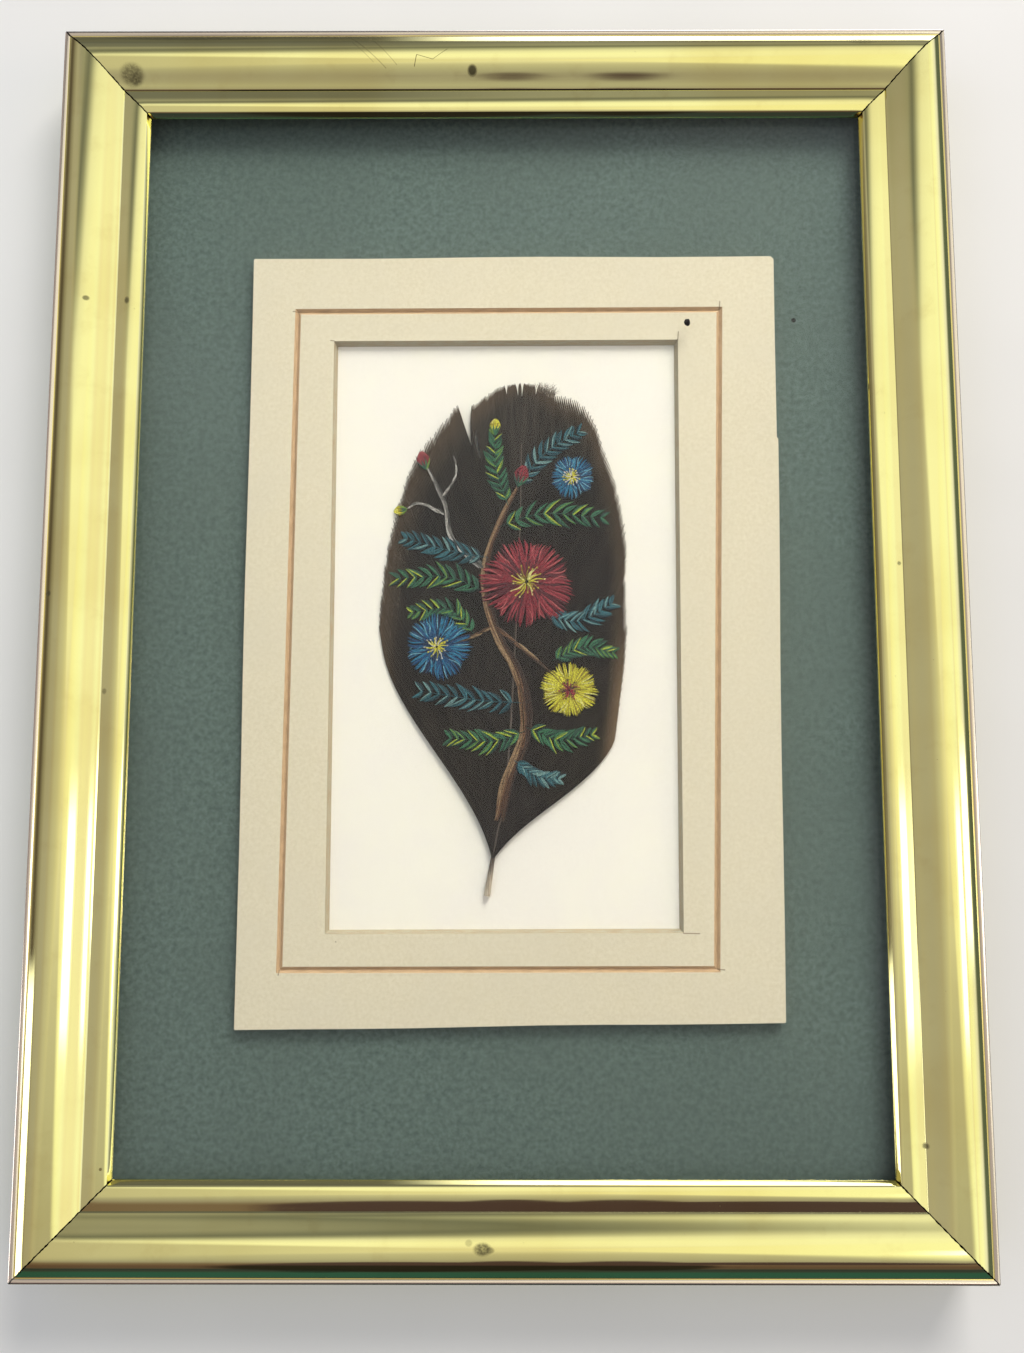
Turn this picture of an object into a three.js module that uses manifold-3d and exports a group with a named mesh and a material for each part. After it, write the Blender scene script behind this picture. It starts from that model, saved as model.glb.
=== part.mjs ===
// A painted feather mounted behind glass in a small polished brass picture frame.
// Millimetres. The frame lies on its back: +Z is out of the picture, +Y is the picture's top.
// Origin: centre of the back plane.

import * as THREE from 'three';
import { mergeVertices } from 'three/addons/utils/BufferGeometryUtils.js';
import Module from 'manifold-3d';

const wasm = await Module();
wasm.setup();

// Frame, over all
const FRAME_WIDTH = 144;
const FRAME_HEIGHT = 195;
const RAIL_WIDTH = 14;
const MITRE_GAP = 0.12;

// Moulding section: distances are from the outer edge, heights from the back
const WALL_TOP = 10.15;
const LIP_WIDTH = 0.88;
const LIP_TOP = 10.58;
const LIP_FOOT_Z = 10.41;
const FACE_PEAK = 11.8;
const FACE_TO = 9.35;
const FACE_END_Z = 9.73;
const ARRIS_TO = 9.76;
const ARRIS_Z = 9.4;
const FLANK_FROM = 9.9;
const FLANK_Z = 9.24;
const BEAD_AT = 11.85;
const BEAD_TOP = 9.6;
const BEAD_TO = 13.25;
const BEAD_END_Z = 9.38;
const INNER_EDGE_AT = 13.95;
const INNER_EDGE_Z = 8.55;
const REBATE_WIDTH = 6.3;
const REBATE_Z = 8.4;
const BACK_CHAMFER = 0.4;

// The stack in the rebate, from the front to the back
const PANE_CLEARANCE = 0.8;
const GLASS_THICKNESS = 2;
const MAT_THICKNESS = 1.1;
const CARD_THICKNESS = 0.4;
const BOARD_THICKNESS = 1.2;
const BACKING_THICKNESS = 2.4;

const GLASS_Z = REBATE_Z - GLASS_THICKNESS;
const MAT_Z = GLASS_Z - MAT_THICKNESS;
const CARD_Z = MAT_Z - CARD_THICKNESS;
const BOARD_Z = CARD_Z - BOARD_THICKNESS;
const BACKING_Z = BOARD_Z - BACKING_THICKNESS;

const PANE_WIDTH = FRAME_WIDTH - 2 * (RAIL_WIDTH - REBATE_WIDTH + PANE_CLEARANCE);
const PANE_HEIGHT = FRAME_HEIGHT - 2 * (RAIL_WIDTH - REBATE_WIDTH + PANE_CLEARANCE);

// The cream mat, cut and ruled by hand, so no corner is quite square.
// Corners go top left, top right, bottom right, bottom left.
const MAT_CORNERS = [[-40.9, 60.05], [43.9, 60.4], [42.75, -61.25], [-40.9, -62.35]];
const GROOVE_CORNERS = [[-33.5, 51.05], [34.9, 51.35], [32.5, -53.3], [-34.25, -53.45]];
const WINDOW_CORNERS = [[-27.6, 46.1], [28.1, 46.3], [27.5, -47.9], [-27.4, -48.1]];
const MAT_CORNER_CUTS = [0.15, 0.5, 0.15, 0.15];
const MAT_EDGE_POINTS = 10;
const MAT_STEP = { side: 1, at: 0.25, length: 0.15, width: 0.3 };
const MAT_WAVE = 0.12;
const GROOVE_WIDTH = 0.95;
const GROOVE_DEPTH = 0.45;
const WINDOW_BEVEL = 0.5;
const CARD_MARGIN = 5.5;
const CUTTER_OVER = 0.3;
const CUTTER_SKIN = 1e-3;

// The feather: its shaft, and the line that its barb tips reach on each side
const QUILL_END = [-2.63, -42.4];
const VANE_START = [-1.7, -36.6];
const SHAFT_END = [2.75, 29];
const SHAFT_POINTS = [VANE_START, [-0.95, -32.4], [0.3, -26.2], [1.7, -4], [2.5, 15], SHAFT_END];
const TIP_MIDDLE = [2.75, 39.1];
const LEFT_TIPS = [
  [-19.2, -4.3], [-19.75, -0.6], [-19.6, 3.3], [-19.2, 7.1], [-18.6, 12.5], [-17.5, 17],
  [-15.9, 22.8], [-14.2, 26.8], [-11.3, 30.8], [-9.2, 33.4], [-7.3, 35.2], [-5.2, 35.8],
  [-2.65, 37.2], [-1, 38.4], [1.25, 38.95], TIP_MIDDLE,
];
const RIGHT_TIPS = [
  [17.4, -18.1], [18, -14], [18.6, -9.5], [19.05, -5.5], [19.45, -0.6], [19.2, 4.5], [19.3, 9],
  [19.45, 13], [19, 16.9], [18.2, 20.8], [17.25, 24.8], [16.5, 26.8], [15.8, 28.7], [14.5, 32.6],
  [12.9, 35.1], [10.7, 36.65], [9, 37], [7.4, 37.8], [5.5, 38.8], [4.2, 39.05], TIP_MIDDLE,
];
const TIP_SLIT = 0.1;
const VANE_THICKNESS = 0.2;
const VANE_EDGE_LIFT = 0.28;
const VANE_CAMBER = 0.34;
const RIDGE = 0.05;
const BARB_ROWS = 46;
const BARB_STEPS = 7;
const SHAFT_RADIUS_AT_VANE = 0.38;
const SHAFT_RADIUS_AT_TIP = 0.13;
const QUILL_RADIUS = 0.5;
const SHAFT_SIDES = 8;
const SHAFT_STEPS = 24;
const CARD_CLEARANCE = 0.02;

// Splits between barbs: inner end, then round the part of the split that opens towards the edge
const SPLITS = [
  [[-5.17, 28.5], [-5.6, 29.5], [-8.3, 39], [-5.2, 39], [-5.25, 35.4], [-5.35, 31]],
  [[-3.75, 25.9], [-4.75, 29.8], [-4.85, 31.4], [-4.3, 28.8]],
  [[0.5, 37], [-0.05, 39.6], [0.6, 39.6]],
  [[2.45, 36.1], [1.5, 39.9], [2.4, 39.9]],
  [[2.83, 36], [2.62, 39.9], [3.3, 39.9]],
  [[5.2, 37], [4.85, 39.9], [5.65, 39.9]],
];

// Retaining tabs at the back: which rail, and how far along it
const TAB_LENGTH = 6;
const TAB_WIDTH = 5;
const TAB_TIP_WIDTH = 2;
const TAB_THICKNESS = 0.4;
const TAB_PLACES = [
  ['left', 48], ['left', -48], ['right', 48], ['right', -48], ['top', 0], ['bottom', 0],
];

const material = (color, roughness, metalness = 0, extra = {}) =>
  new THREE.MeshStandardMaterial({ color, roughness, metalness, ...extra });
const brass = () => material('#d9c97a', 0.18, 1);
const clearGlass = () => material('#f2f7f4', 0.03, 0, { transparent: true, opacity: 0.3 });
const creamBoard = () => material('#e2d8b8', 0.85);
const whiteCard = () => material('#f8f6ec', 0.9);
const greenBoard = () => material('#66736b', 0.9);
const millboard = () => material('#8a7a62', 0.95);
const featherVane = () => material('#2e2925', 0.7);

const object = new THREE.Group();

function addPart(name, geometry, finish) {
  const mesh = new THREE.Mesh(geometry, finish);
  mesh.name = name;
  object.add(mesh);
  return mesh;
}

// Booleans: a closed geometry becomes a solid, and a solid a geometry again

function toSolid(geometry) {
  const bare = new THREE.BufferGeometry();
  bare.setAttribute('position', geometry.getAttribute('position').clone());
  if (geometry.index) bare.setIndex(geometry.index.clone());
  const merged = mergeVertices(bare, 1e-4);
  return new wasm.Manifold(new wasm.Mesh({
    numProp: 3,
    vertProperties: new Float32Array(merged.getAttribute('position').array),
    triVerts: new Uint32Array(merged.index.array),
  }));
}

function toGeometry(solid) {
  const mesh = solid.getMesh();
  const geometry = new THREE.BufferGeometry();
  geometry.setAttribute('position', new THREE.BufferAttribute(new Float32Array(mesh.vertProperties), 3));
  geometry.setIndex(new THREE.BufferAttribute(new Uint32Array(mesh.triVerts), 1));
  return geometry;
}

// Moulding

function mouldingSection() {
  const section = new THREE.Shape();
  section.moveTo(BACK_CHAMFER, 0);
  section.lineTo(0, BACK_CHAMFER);
  section.lineTo(0, WALL_TOP);
  section.quadraticCurveTo(0, LIP_TOP, LIP_WIDTH / 2, LIP_TOP);
  section.quadraticCurveTo(LIP_WIDTH * 0.75, LIP_TOP, LIP_WIDTH, LIP_FOOT_Z);
  section.splineThru([
    new THREE.Vector2(1.34, 10.77),
    new THREE.Vector2(1.93, 11.15),
    new THREE.Vector2(2.9, 11.62),
    new THREE.Vector2(4.1, FACE_PEAK),
    new THREE.Vector2(5.45, 11.69),
    new THREE.Vector2(6.8, 11.22),
    new THREE.Vector2(8.2, 10.41),
    new THREE.Vector2(FACE_TO, FACE_END_Z),
  ]);
  section.lineTo(ARRIS_TO, ARRIS_Z);
  section.lineTo(FLANK_FROM, FLANK_Z);
  section.quadraticCurveTo((FLANK_FROM + BEAD_AT) / 2, BEAD_TOP, BEAD_AT, BEAD_TOP);
  section.quadraticCurveTo((BEAD_AT + BEAD_TO) / 2, BEAD_TOP, BEAD_TO, BEAD_END_Z);
  section.lineTo(INNER_EDGE_AT, INNER_EDGE_Z);
  section.lineTo(RAIL_WIDTH, REBATE_Z);
  section.lineTo(RAIL_WIDTH - REBATE_WIDTH, REBATE_Z);
  section.lineTo(RAIL_WIDTH - REBATE_WIDTH, 0);
  section.closePath();
  return section;
}

// A length of moulding along X, its outer edge at y = 0 and its inner edge at y = RAIL_WIDTH.
// Both ends are cut at 45 degrees, half the mitre gap short of the corner line.
function mitredRail(length) {
  const geometry = new THREE.ExtrudeGeometry(mouldingSection(), {
    depth: 1,
    bevelEnabled: false,
    curveSegments: 3,
  });
  const position = geometry.getAttribute('position');
  const halfGap = (MITRE_GAP / 2) * Math.SQRT2;
  for (let i = 0; i < position.count; i += 1) {
    const across = position.getX(i);
    const height = position.getY(i);
    const end = position.getZ(i) * 2 - 1;
    position.setXYZ(i, end * (length / 2 - across - halfGap), across, height);
  }
  geometry.computeVertexNormals();
  return geometry;
}

function addRail(name, length, turn, reach) {
  const rail = addPart(name, mitredRail(length), brass());
  rail.rotation.z = turn;
  rail.position.set(Math.sin(turn) * reach, -Math.cos(turn) * reach, 0);
}

addRail('rail_bottom', FRAME_WIDTH, 0, FRAME_HEIGHT / 2);
addRail('rail_right', FRAME_HEIGHT, Math.PI / 2, FRAME_WIDTH / 2);
addRail('rail_top', FRAME_WIDTH, Math.PI, FRAME_HEIGHT / 2);
addRail('rail_left', FRAME_HEIGHT, -Math.PI / 2, FRAME_WIDTH / 2);

// Flat sheets of the stack

function sheet(width, height, thickness, z) {
  const geometry = new THREE.BoxGeometry(width, height, thickness);
  geometry.translate(0, 0, z + thickness / 2);
  return geometry;
}

addPart('glass_pane', sheet(PANE_WIDTH, PANE_HEIGHT, GLASS_THICKNESS, GLASS_Z), clearGlass());
addPart('green_board', sheet(PANE_WIDTH, PANE_HEIGHT, BOARD_THICKNESS, BOARD_Z), greenBoard());
addPart('backing_board', sheet(PANE_WIDTH, PANE_HEIGHT, BACKING_THICKNESS, BACKING_Z), millboard());

// Cream mat

// Moves each side of a four-cornered outline outward by a distance.
function growQuad(corners, distance) {
  const lines = corners.map(([x, y], i) => {
    const [nextX, nextY] = corners[(i + 1) % 4];
    const length = Math.hypot(nextX - x, nextY - y);
    const along = [(nextX - x) / length, (nextY - y) / length];
    const outward = [-along[1], along[0]];
    return { from: [x + outward[0] * distance, y + outward[1] * distance], along };
  });
  return lines.map((line, i) => {
    const before = lines[(i + 3) % 4];
    const cross = before.along[0] * line.along[1] - before.along[1] * line.along[0];
    const dx = line.from[0] - before.from[0];
    const dy = line.from[1] - before.from[1];
    const reach = (dx * line.along[1] - dy * line.along[0]) / cross;
    return [before.from[0] + before.along[0] * reach, before.from[1] + before.along[1] * reach];
  });
}

// The outer outline of the mat: edges that wander a little from straight, one soft corner, and a
// small outward step where the knife was taken up again on the right edge.
function matOutline() {
  const points = [];
  MAT_CORNERS.forEach(([x, y], side) => {
    const [nextX, nextY] = MAT_CORNERS[(side + 1) % 4];
    const length = Math.hypot(nextX - x, nextY - y);
    const inward = [(nextY - y) / length, -(nextX - x) / length];
    const from = MAT_CORNER_CUTS[side] / length;
    const to = 1 - MAT_CORNER_CUTS[(side + 1) % 4] / length;
    const places = Array.from({ length: MAT_EDGE_POINTS }, (_, i) => (
      THREE.MathUtils.lerp(from, to, i / (MAT_EDGE_POINTS - 1))
    ));
    if (side === MAT_STEP.side) places.push(MAT_STEP.at, MAT_STEP.at + MAT_STEP.length / length);
    places.sort((a, b) => a - b).forEach((t) => {
      const wave = MAT_WAVE * Math.sin(Math.PI * t) * Math.sin(9 * t + 2.1 * side);
      const step = side === MAT_STEP.side && t > MAT_STEP.at ? MAT_STEP.width * (1 - t) : 0;
      points.push(new THREE.Vector2(
        x + (nextX - x) * t + inward[0] * (wave - step),
        y + (nextY - y) * t + inward[1] * (wave - step),
      ));
    });
  });
  return points;
}

// A tapered block between two four-cornered outlines.
function loft(lower, lowerZ, upper, upperZ) {
  const positions = [];
  lower.forEach(([x, y]) => positions.push(x, y, lowerZ));
  upper.forEach(([x, y]) => positions.push(x, y, upperZ));
  const faces = [0, 1, 2, 0, 2, 3, 4, 6, 5, 4, 7, 6];
  for (let i = 0; i < 4; i += 1) {
    const j = (i + 1) % 4;
    faces.push(i, i + 4, j, j, i + 4, j + 4);
  }
  const geometry = new THREE.BufferGeometry();
  geometry.setAttribute('position', new THREE.Float32BufferAttribute(positions, 3));
  geometry.setIndex(faces);
  return geometry;
}

function matGeometry() {
  const top = MAT_Z + MAT_THICKNESS;
  const blank = new THREE.ExtrudeGeometry(new THREE.Shape(matOutline()), {
    depth: MAT_THICKNESS,
    bevelEnabled: false,
  });
  blank.translate(0, 0, MAT_Z);
  const bevelSlope = WINDOW_BEVEL / MAT_THICKNESS;
  const windowCut = loft(
    growQuad(WINDOW_CORNERS, -WINDOW_BEVEL - CUTTER_OVER * bevelSlope), MAT_Z - CUTTER_OVER,
    growQuad(WINDOW_CORNERS, CUTTER_OVER * bevelSlope), top + CUTTER_OVER,
  );
  const flare = (GROOVE_WIDTH / 2) * (1 + CUTTER_OVER / GROOVE_DEPTH);
  const grooveOuter = loft(
    GROOVE_CORNERS, top - GROOVE_DEPTH,
    growQuad(GROOVE_CORNERS, flare), top + CUTTER_OVER,
  );
  const grooveInner = loft(
    GROOVE_CORNERS, top - GROOVE_DEPTH - CUTTER_SKIN,
    growQuad(GROOVE_CORNERS, -flare), top + CUTTER_OVER + CUTTER_SKIN,
  );
  const groove = toSolid(grooveOuter).subtract(toSolid(grooveInner));
  return toGeometry(toSolid(blank).subtract(toSolid(windowCut)).subtract(groove));
}

addPart('cream_mat', matGeometry(), creamBoard());

// White card under the window

const cardOutline = growQuad(WINDOW_CORNERS, CARD_MARGIN);
addPart('white_card', loft(cardOutline, CARD_Z, cardOutline, MAT_Z), whiteCard());

// Feather

const flat = (points) => points.map(([x, y]) => new THREE.Vector3(x, y, 0));
const shaftLine = new THREE.CatmullRomCurve3(flat(SHAFT_POINTS));
const tipLines = {
  left: new THREE.CatmullRomCurve3(flat(LEFT_TIPS)),
  right: new THREE.CatmullRomCurve3(flat(RIGHT_TIPS)),
};
// How the lowest barb and the rest bend, in degrees from the straight line between their ends
const BARB_BENDS = {
  left: { root: [-15, 13], tip: [-15, -13] },
  right: { root: [-11, 12], tip: [-22, -13] },
};
const BEND_SETTLES = 0.25;
// How far the bends reach from each end, as a share of the straight line
const BARB_HANDLE = 0.32;
// The barbs beside the end of the shaft run straight on.
const BEND_FADES = 0.8;

const turned = (vector, degrees) =>
  vector.clone().applyAxisAngle(new THREE.Vector3(0, 0, 1), THREE.MathUtils.degToRad(degrees));

// One barb of one vane. rank runs from 0 at the lowest barb to 1 at the tip of the shaft.
function barb(side, rank) {
  const outward = side === 'left' ? 1 : -1;
  const root = shaftLine.getPointAt(rank);
  const tip = tipLines[side].getPointAt(1 - (1 - rank) ** 1.25);
  tip.x -= outward * TIP_SLIT * rank;
  const chord = tip.clone().sub(root);
  const settled = THREE.MathUtils.smoothstep(rank, 0, BEND_SETTLES);
  const bent = outward * (1 - THREE.MathUtils.smoothstep(rank, BEND_FADES, 1));
  const bends = BARB_BENDS[side];
  const rootBend = THREE.MathUtils.lerp(bends.root[0], bends.root[1], settled);
  const tipBend = THREE.MathUtils.lerp(bends.tip[0], bends.tip[1], settled);
  const handle = chord.clone().multiplyScalar(BARB_HANDLE);
  return new THREE.CubicBezierCurve3(
    root,
    root.clone().add(turned(handle, bent * rootBend)),
    tip.clone().sub(turned(handle, bent * tipBend)),
    tip,
  );
}

// The vanes: one thin cambered sheet whose rows are barbs, alternate rows a little raised.
function vaneGeometry() {
  const rows = [];
  for (let i = 0; i <= BARB_ROWS; i += 1) {
    const rank = i / BARB_ROWS;
    const left = barb('left', rank);
    const right = barb('right', rank);
    const row = [];
    for (let j = -BARB_STEPS; j <= BARB_STEPS; j += 1) {
      const reach = Math.abs(j) / BARB_STEPS;
      const point = (j < 0 ? left : right).getPoint(reach);
      const ridge = j === 0 ? 0 : (i % 2 ? RIDGE : -RIDGE);
      point.z = MAT_Z + VANE_EDGE_LIFT + VANE_CAMBER * (1 - reach ** 2) + ridge;
      row.push(point);
    }
    rows.push(row);
  }
  const across = 2 * BARB_STEPS + 1;
  const positions = [];
  [VANE_THICKNESS / 2, -VANE_THICKNESS / 2].forEach((offset) => {
    rows.flat().forEach((point) => positions.push(point.x, point.y, point.z + offset));
  });
  const under = rows.length * across;
  const faces = [];
  const quad = (a, b, c, d) => faces.push(a, b, c, a, c, d);
  for (let i = 0; i < BARB_ROWS; i += 1) {
    for (let j = 0; j < across - 1; j += 1) {
      const a = i * across + j;
      quad(a, a + 1, a + 1 + across, a + across);
      quad(a + under, a + across + under, a + 1 + across + under, a + 1 + under);
    }
    const leftEdge = i * across;
    const rightEdge = leftEdge + across - 1;
    quad(leftEdge, leftEdge + across, leftEdge + across + under, leftEdge + under);
    quad(rightEdge, rightEdge + under, rightEdge + across + under, rightEdge + across);
  }
  for (let j = 0; j < across - 1; j += 1) {
    const last = BARB_ROWS * across + j;
    quad(j, j + under, j + 1 + under, j + 1);
    quad(last, last + 1, last + 1 + under, last + under);
  }
  const geometry = new THREE.BufferGeometry();
  geometry.setAttribute('position', new THREE.Float32BufferAttribute(positions, 3));
  geometry.setIndex(faces);
  return geometry;
}

// The shaft: a tube that tapers from the cut quill to the tip, resting on the card.
function shaftGeometry() {
  const line = new THREE.CatmullRomCurve3(flat([QUILL_END, ...SHAFT_POINTS]));
  const quillLength = Math.hypot(VANE_START[0] - QUILL_END[0], VANE_START[1] - QUILL_END[1]);
  const quillShare = quillLength / line.getLength();
  const positions = [];
  for (let i = 0; i <= SHAFT_STEPS; i += 1) {
    const t = i / SHAFT_STEPS;
    const centre = line.getPointAt(t);
    const along = line.getTangentAt(t);
    const sideways = new THREE.Vector3(along.y, -along.x, 0);
    const radius = t < quillShare
      ? THREE.MathUtils.lerp(QUILL_RADIUS, SHAFT_RADIUS_AT_VANE, t / quillShare)
      : THREE.MathUtils.lerp(SHAFT_RADIUS_AT_VANE, SHAFT_RADIUS_AT_TIP, (t - quillShare) / (1 - quillShare));
    centre.z = MAT_Z + CARD_CLEARANCE + Math.max(radius, SHAFT_RADIUS_AT_VANE);
    for (let k = 0; k < SHAFT_SIDES; k += 1) {
      const angle = (2 * Math.PI * k) / SHAFT_SIDES;
      positions.push(
        centre.x + sideways.x * radius * Math.cos(angle),
        centre.y + sideways.y * radius * Math.cos(angle),
        centre.z + radius * Math.sin(angle),
      );
    }
  }
  const faces = [];
  for (let i = 0; i < SHAFT_STEPS; i += 1) {
    for (let k = 0; k < SHAFT_SIDES; k += 1) {
      const a = i * SHAFT_SIDES + k;
      const b = i * SHAFT_SIDES + ((k + 1) % SHAFT_SIDES);
      faces.push(a, a + SHAFT_SIDES, b, b, a + SHAFT_SIDES, b + SHAFT_SIDES);
    }
  }
  const lastRing = SHAFT_STEPS * SHAFT_SIDES;
  for (let k = 1; k < SHAFT_SIDES - 1; k += 1) {
    faces.push(0, k, k + 1);
    faces.push(lastRing, lastRing + k + 1, lastRing + k);
  }
  const geometry = new THREE.BufferGeometry();
  geometry.setAttribute('position', new THREE.Float32BufferAttribute(positions, 3));
  geometry.setIndex(faces);
  return geometry;
}

function splitWedge(points) {
  const outline = new THREE.Shape(points.map(([x, y]) => new THREE.Vector2(x, y)));
  const wedge = new THREE.ExtrudeGeometry(outline, { depth: MAT_THICKNESS, bevelEnabled: false });
  wedge.translate(0, 0, MAT_Z);
  return toSolid(wedge);
}

function featherGeometry() {
  const vane = SPLITS.reduce((solid, split) => solid.subtract(splitWedge(split)), toSolid(vaneGeometry()));
  return toGeometry(vane.add(toSolid(shaftGeometry())));
}

addPart('feather', featherGeometry(), featherVane());

// Retaining tabs at the back

const TAB_TURNS = { bottom: 0, right: Math.PI / 2, top: Math.PI, left: -Math.PI / 2 };

TAB_PLACES.forEach(([side, along], i) => {
  const turn = TAB_TURNS[side];
  const onSide = side === 'left' || side === 'right';
  const reach = (onSide ? FRAME_WIDTH : FRAME_HEIGHT) / 2 - RAIL_WIDTH + REBATE_WIDTH;
  const outline = new THREE.Shape([
    new THREE.Vector2(-TAB_WIDTH / 2, 0),
    new THREE.Vector2(TAB_WIDTH / 2, 0),
    new THREE.Vector2(TAB_TIP_WIDTH / 2, TAB_LENGTH),
    new THREE.Vector2(-TAB_TIP_WIDTH / 2, TAB_LENGTH),
  ]);
  const geometry = new THREE.ExtrudeGeometry(outline, { depth: TAB_THICKNESS, bevelEnabled: false });
  const tab = addPart(`retaining_tab_${i + 1}`, geometry, brass());
  tab.rotation.z = turn;
  tab.position.set(
    onSide ? Math.sin(turn) * reach : 0,
    onSide ? along : -Math.cos(turn) * reach,
    BACKING_Z - TAB_THICKNESS,
  );
});

export default object;
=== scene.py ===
"""A painted feather behind glass, in a small polished brass picture frame that lies on its back."""
import math
import random

import bmesh
import bpy
import mathutils
import numpy as np
from mathutils import Euler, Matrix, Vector


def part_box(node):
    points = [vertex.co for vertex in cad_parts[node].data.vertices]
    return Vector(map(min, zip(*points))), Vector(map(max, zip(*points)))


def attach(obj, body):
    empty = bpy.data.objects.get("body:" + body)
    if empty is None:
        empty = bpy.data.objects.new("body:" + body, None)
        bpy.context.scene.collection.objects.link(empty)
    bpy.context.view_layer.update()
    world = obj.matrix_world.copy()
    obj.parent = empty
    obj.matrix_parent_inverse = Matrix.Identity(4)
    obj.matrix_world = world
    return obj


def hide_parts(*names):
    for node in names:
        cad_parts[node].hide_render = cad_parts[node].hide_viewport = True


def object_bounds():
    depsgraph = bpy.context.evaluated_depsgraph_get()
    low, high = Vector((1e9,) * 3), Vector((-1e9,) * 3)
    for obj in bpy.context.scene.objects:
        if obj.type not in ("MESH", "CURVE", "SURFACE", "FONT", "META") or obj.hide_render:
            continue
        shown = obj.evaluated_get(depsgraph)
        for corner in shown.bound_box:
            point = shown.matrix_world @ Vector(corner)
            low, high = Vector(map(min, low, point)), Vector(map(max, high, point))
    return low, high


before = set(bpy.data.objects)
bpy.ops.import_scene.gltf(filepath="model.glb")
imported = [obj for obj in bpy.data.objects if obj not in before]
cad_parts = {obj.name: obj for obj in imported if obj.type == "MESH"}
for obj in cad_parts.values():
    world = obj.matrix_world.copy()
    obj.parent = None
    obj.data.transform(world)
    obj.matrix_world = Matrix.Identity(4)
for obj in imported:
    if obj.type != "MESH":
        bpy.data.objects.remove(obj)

CAD_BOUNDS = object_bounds()
MM = 0.001

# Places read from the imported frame, in millimetres


def node_box_mm(name):
    low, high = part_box(name)
    return np.array(low) / MM, np.array(high) / MM


LOW, HIGH = (np.array(corner) / MM for corner in CAD_BOUNDS)
FRAME_WIDTH, FRAME_HEIGHT, FRAME_DEPTH = HIGH - LOW
PANE_LOW, PANE_HIGH = node_box_mm("glass_pane")
MAT_LOW, _ = node_box_mm("cream_mat")
CARD_TOP = MAT_LOW[2]

# Colours and nodes

COLOUR = {"data_type": "RGBA"}
SOFT = {"interpolation_type": "SMOOTHSTEP"}


def linear(hex_colour):
    """An sRGB hex colour as linear RGBA."""
    parts = [int(hex_colour[i:i + 2], 16) / 255 for i in (1, 3, 5)]
    return (*[c / 12.92 if c <= 0.04045 else ((c + 0.055) / 1.055) ** 2.4 for c in parts], 1.0)


def plug(tree, source, socket):
    """Links an output, or a node's first live output, to an input. A plain value is set on the input."""
    if isinstance(source, bpy.types.Node):
        source = next(output for output in source.outputs if output.enabled)
    if isinstance(source, bpy.types.NodeSocket):
        tree.links.new(source, socket)
    else:
        socket.default_value = source


def add(tree, kind, *values, **settings):
    """Adds a node with its settings and links. The values go to its live inputs in order, or a dict names
    the inputs. A shader node's type is given in short."""
    made = tree.nodes.new(kind if "Node" in kind else "ShaderNode" + kind)
    for name, value in settings.items():
        setattr(made, name, value)
    if values and isinstance(values[0], dict):
        targets = [(made.inputs[name], value) for name, value in values[0].items()]
    else:
        targets = zip([socket for socket in made.inputs if socket.enabled], values)
    for socket, value in targets:
        plug(tree, value, socket)
    return made


def product(tree, *masks):
    """Masks multiplied together, which is bright only where all of them are."""
    made = masks[0]
    for mask in masks[1:]:
        made = add(tree, "Math", made, mask, operation="MULTIPLY")
    return made


def past(tree, *steps):
    """Bright where each value is past its soft step. A step is a value, where it starts and where it ends."""
    return product(tree, *[add(tree, "MapRange", *step, **SOFT) for step in steps])


def toned(tree, colour, pattern, low, high, hex_colour, most=1.0):
    """The colour, which turns to another while a pattern rises from low to high."""
    share = add(tree, "MapRange", pattern, low, high, 0, most, **SOFT)
    return add(tree, "Mix", share, colour, linear(hex_colour), **COLOUR)


def laid_over(tree, colour, mask, hex_colour, share=None):
    """The colour with another laid over it where a mask is bright, thinly where a share is given."""
    thinned = mask if share is None else product(tree, mask, share)
    return add(tree, "Mix", thinned, colour, linear(hex_colour), **COLOUR)


def scale_for(size_mm):
    """The scale at which a pattern on metres has features about size_mm across."""
    return 1 / (size_mm * MM)


def specks(tree, vector, spacing_mm, radius_mm, share):
    """A mask of small round specks, in a share of the cells of a loose grid."""
    cells = add(tree, "TexVoronoi", {"Vector": vector, "Scale": scale_for(spacing_mm)})
    edge = radius_mm / spacing_mm
    near = add(tree, "MapRange", cells.outputs["Distance"], edge * 0.6, edge, 1, 0, **SOFT)
    pick = add(tree, "SeparateColor", cells.outputs["Color"])
    return product(tree, near, add(tree, "Math", pick, share, operation="LESS_THAN"))


def spot(tree, vector, place_mm, radii_mm, soft=0.35):
    """A mask of one soft oval at a place on the object."""
    moved = add(tree, "VectorMath", vector, [-p * MM for p in place_mm], operation="ADD")
    shaped = add(tree, "VectorMath", moved, [scale_for(r) for r in radii_mm], operation="MULTIPLY")
    far = add(tree, "VectorMath", shaped, operation="LENGTH")
    return add(tree, "MapRange", far, 1 - soft, 1 + soft, 1, 0, **SOFT)


def line_mask(tree, at, start, end, half_width):
    """1 on a straight line between two places on the top face, in millimetres."""
    middle = [(a + b) / 2 for a, b in zip(start, end)]
    run, rise = end[0] - start[0], end[1] - start[1]
    on_line = add(tree, "Mapping", {
        "Vector": at, "Location": (middle[0] * MM, middle[1] * MM, 0),
        "Rotation": (0, 0, math.atan2(rise, run)), "Scale": (1, 1, 0)}, vector_type="TEXTURE")
    parts = add(tree, "SeparateXYZ", on_line).outputs
    along = add(tree, "Math", parts[0], operation="ABSOLUTE")
    across = add(tree, "Math", parts[1], operation="ABSOLUTE")
    edge = half_width * MM
    near = add(tree, "MapRange", across, edge * 0.4, edge, 1, 0, **SOFT)
    within = add(tree, "Math", along, math.hypot(run, rise) / 2 * MM, operation="LESS_THAN")
    return product(tree, near, within)


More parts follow.
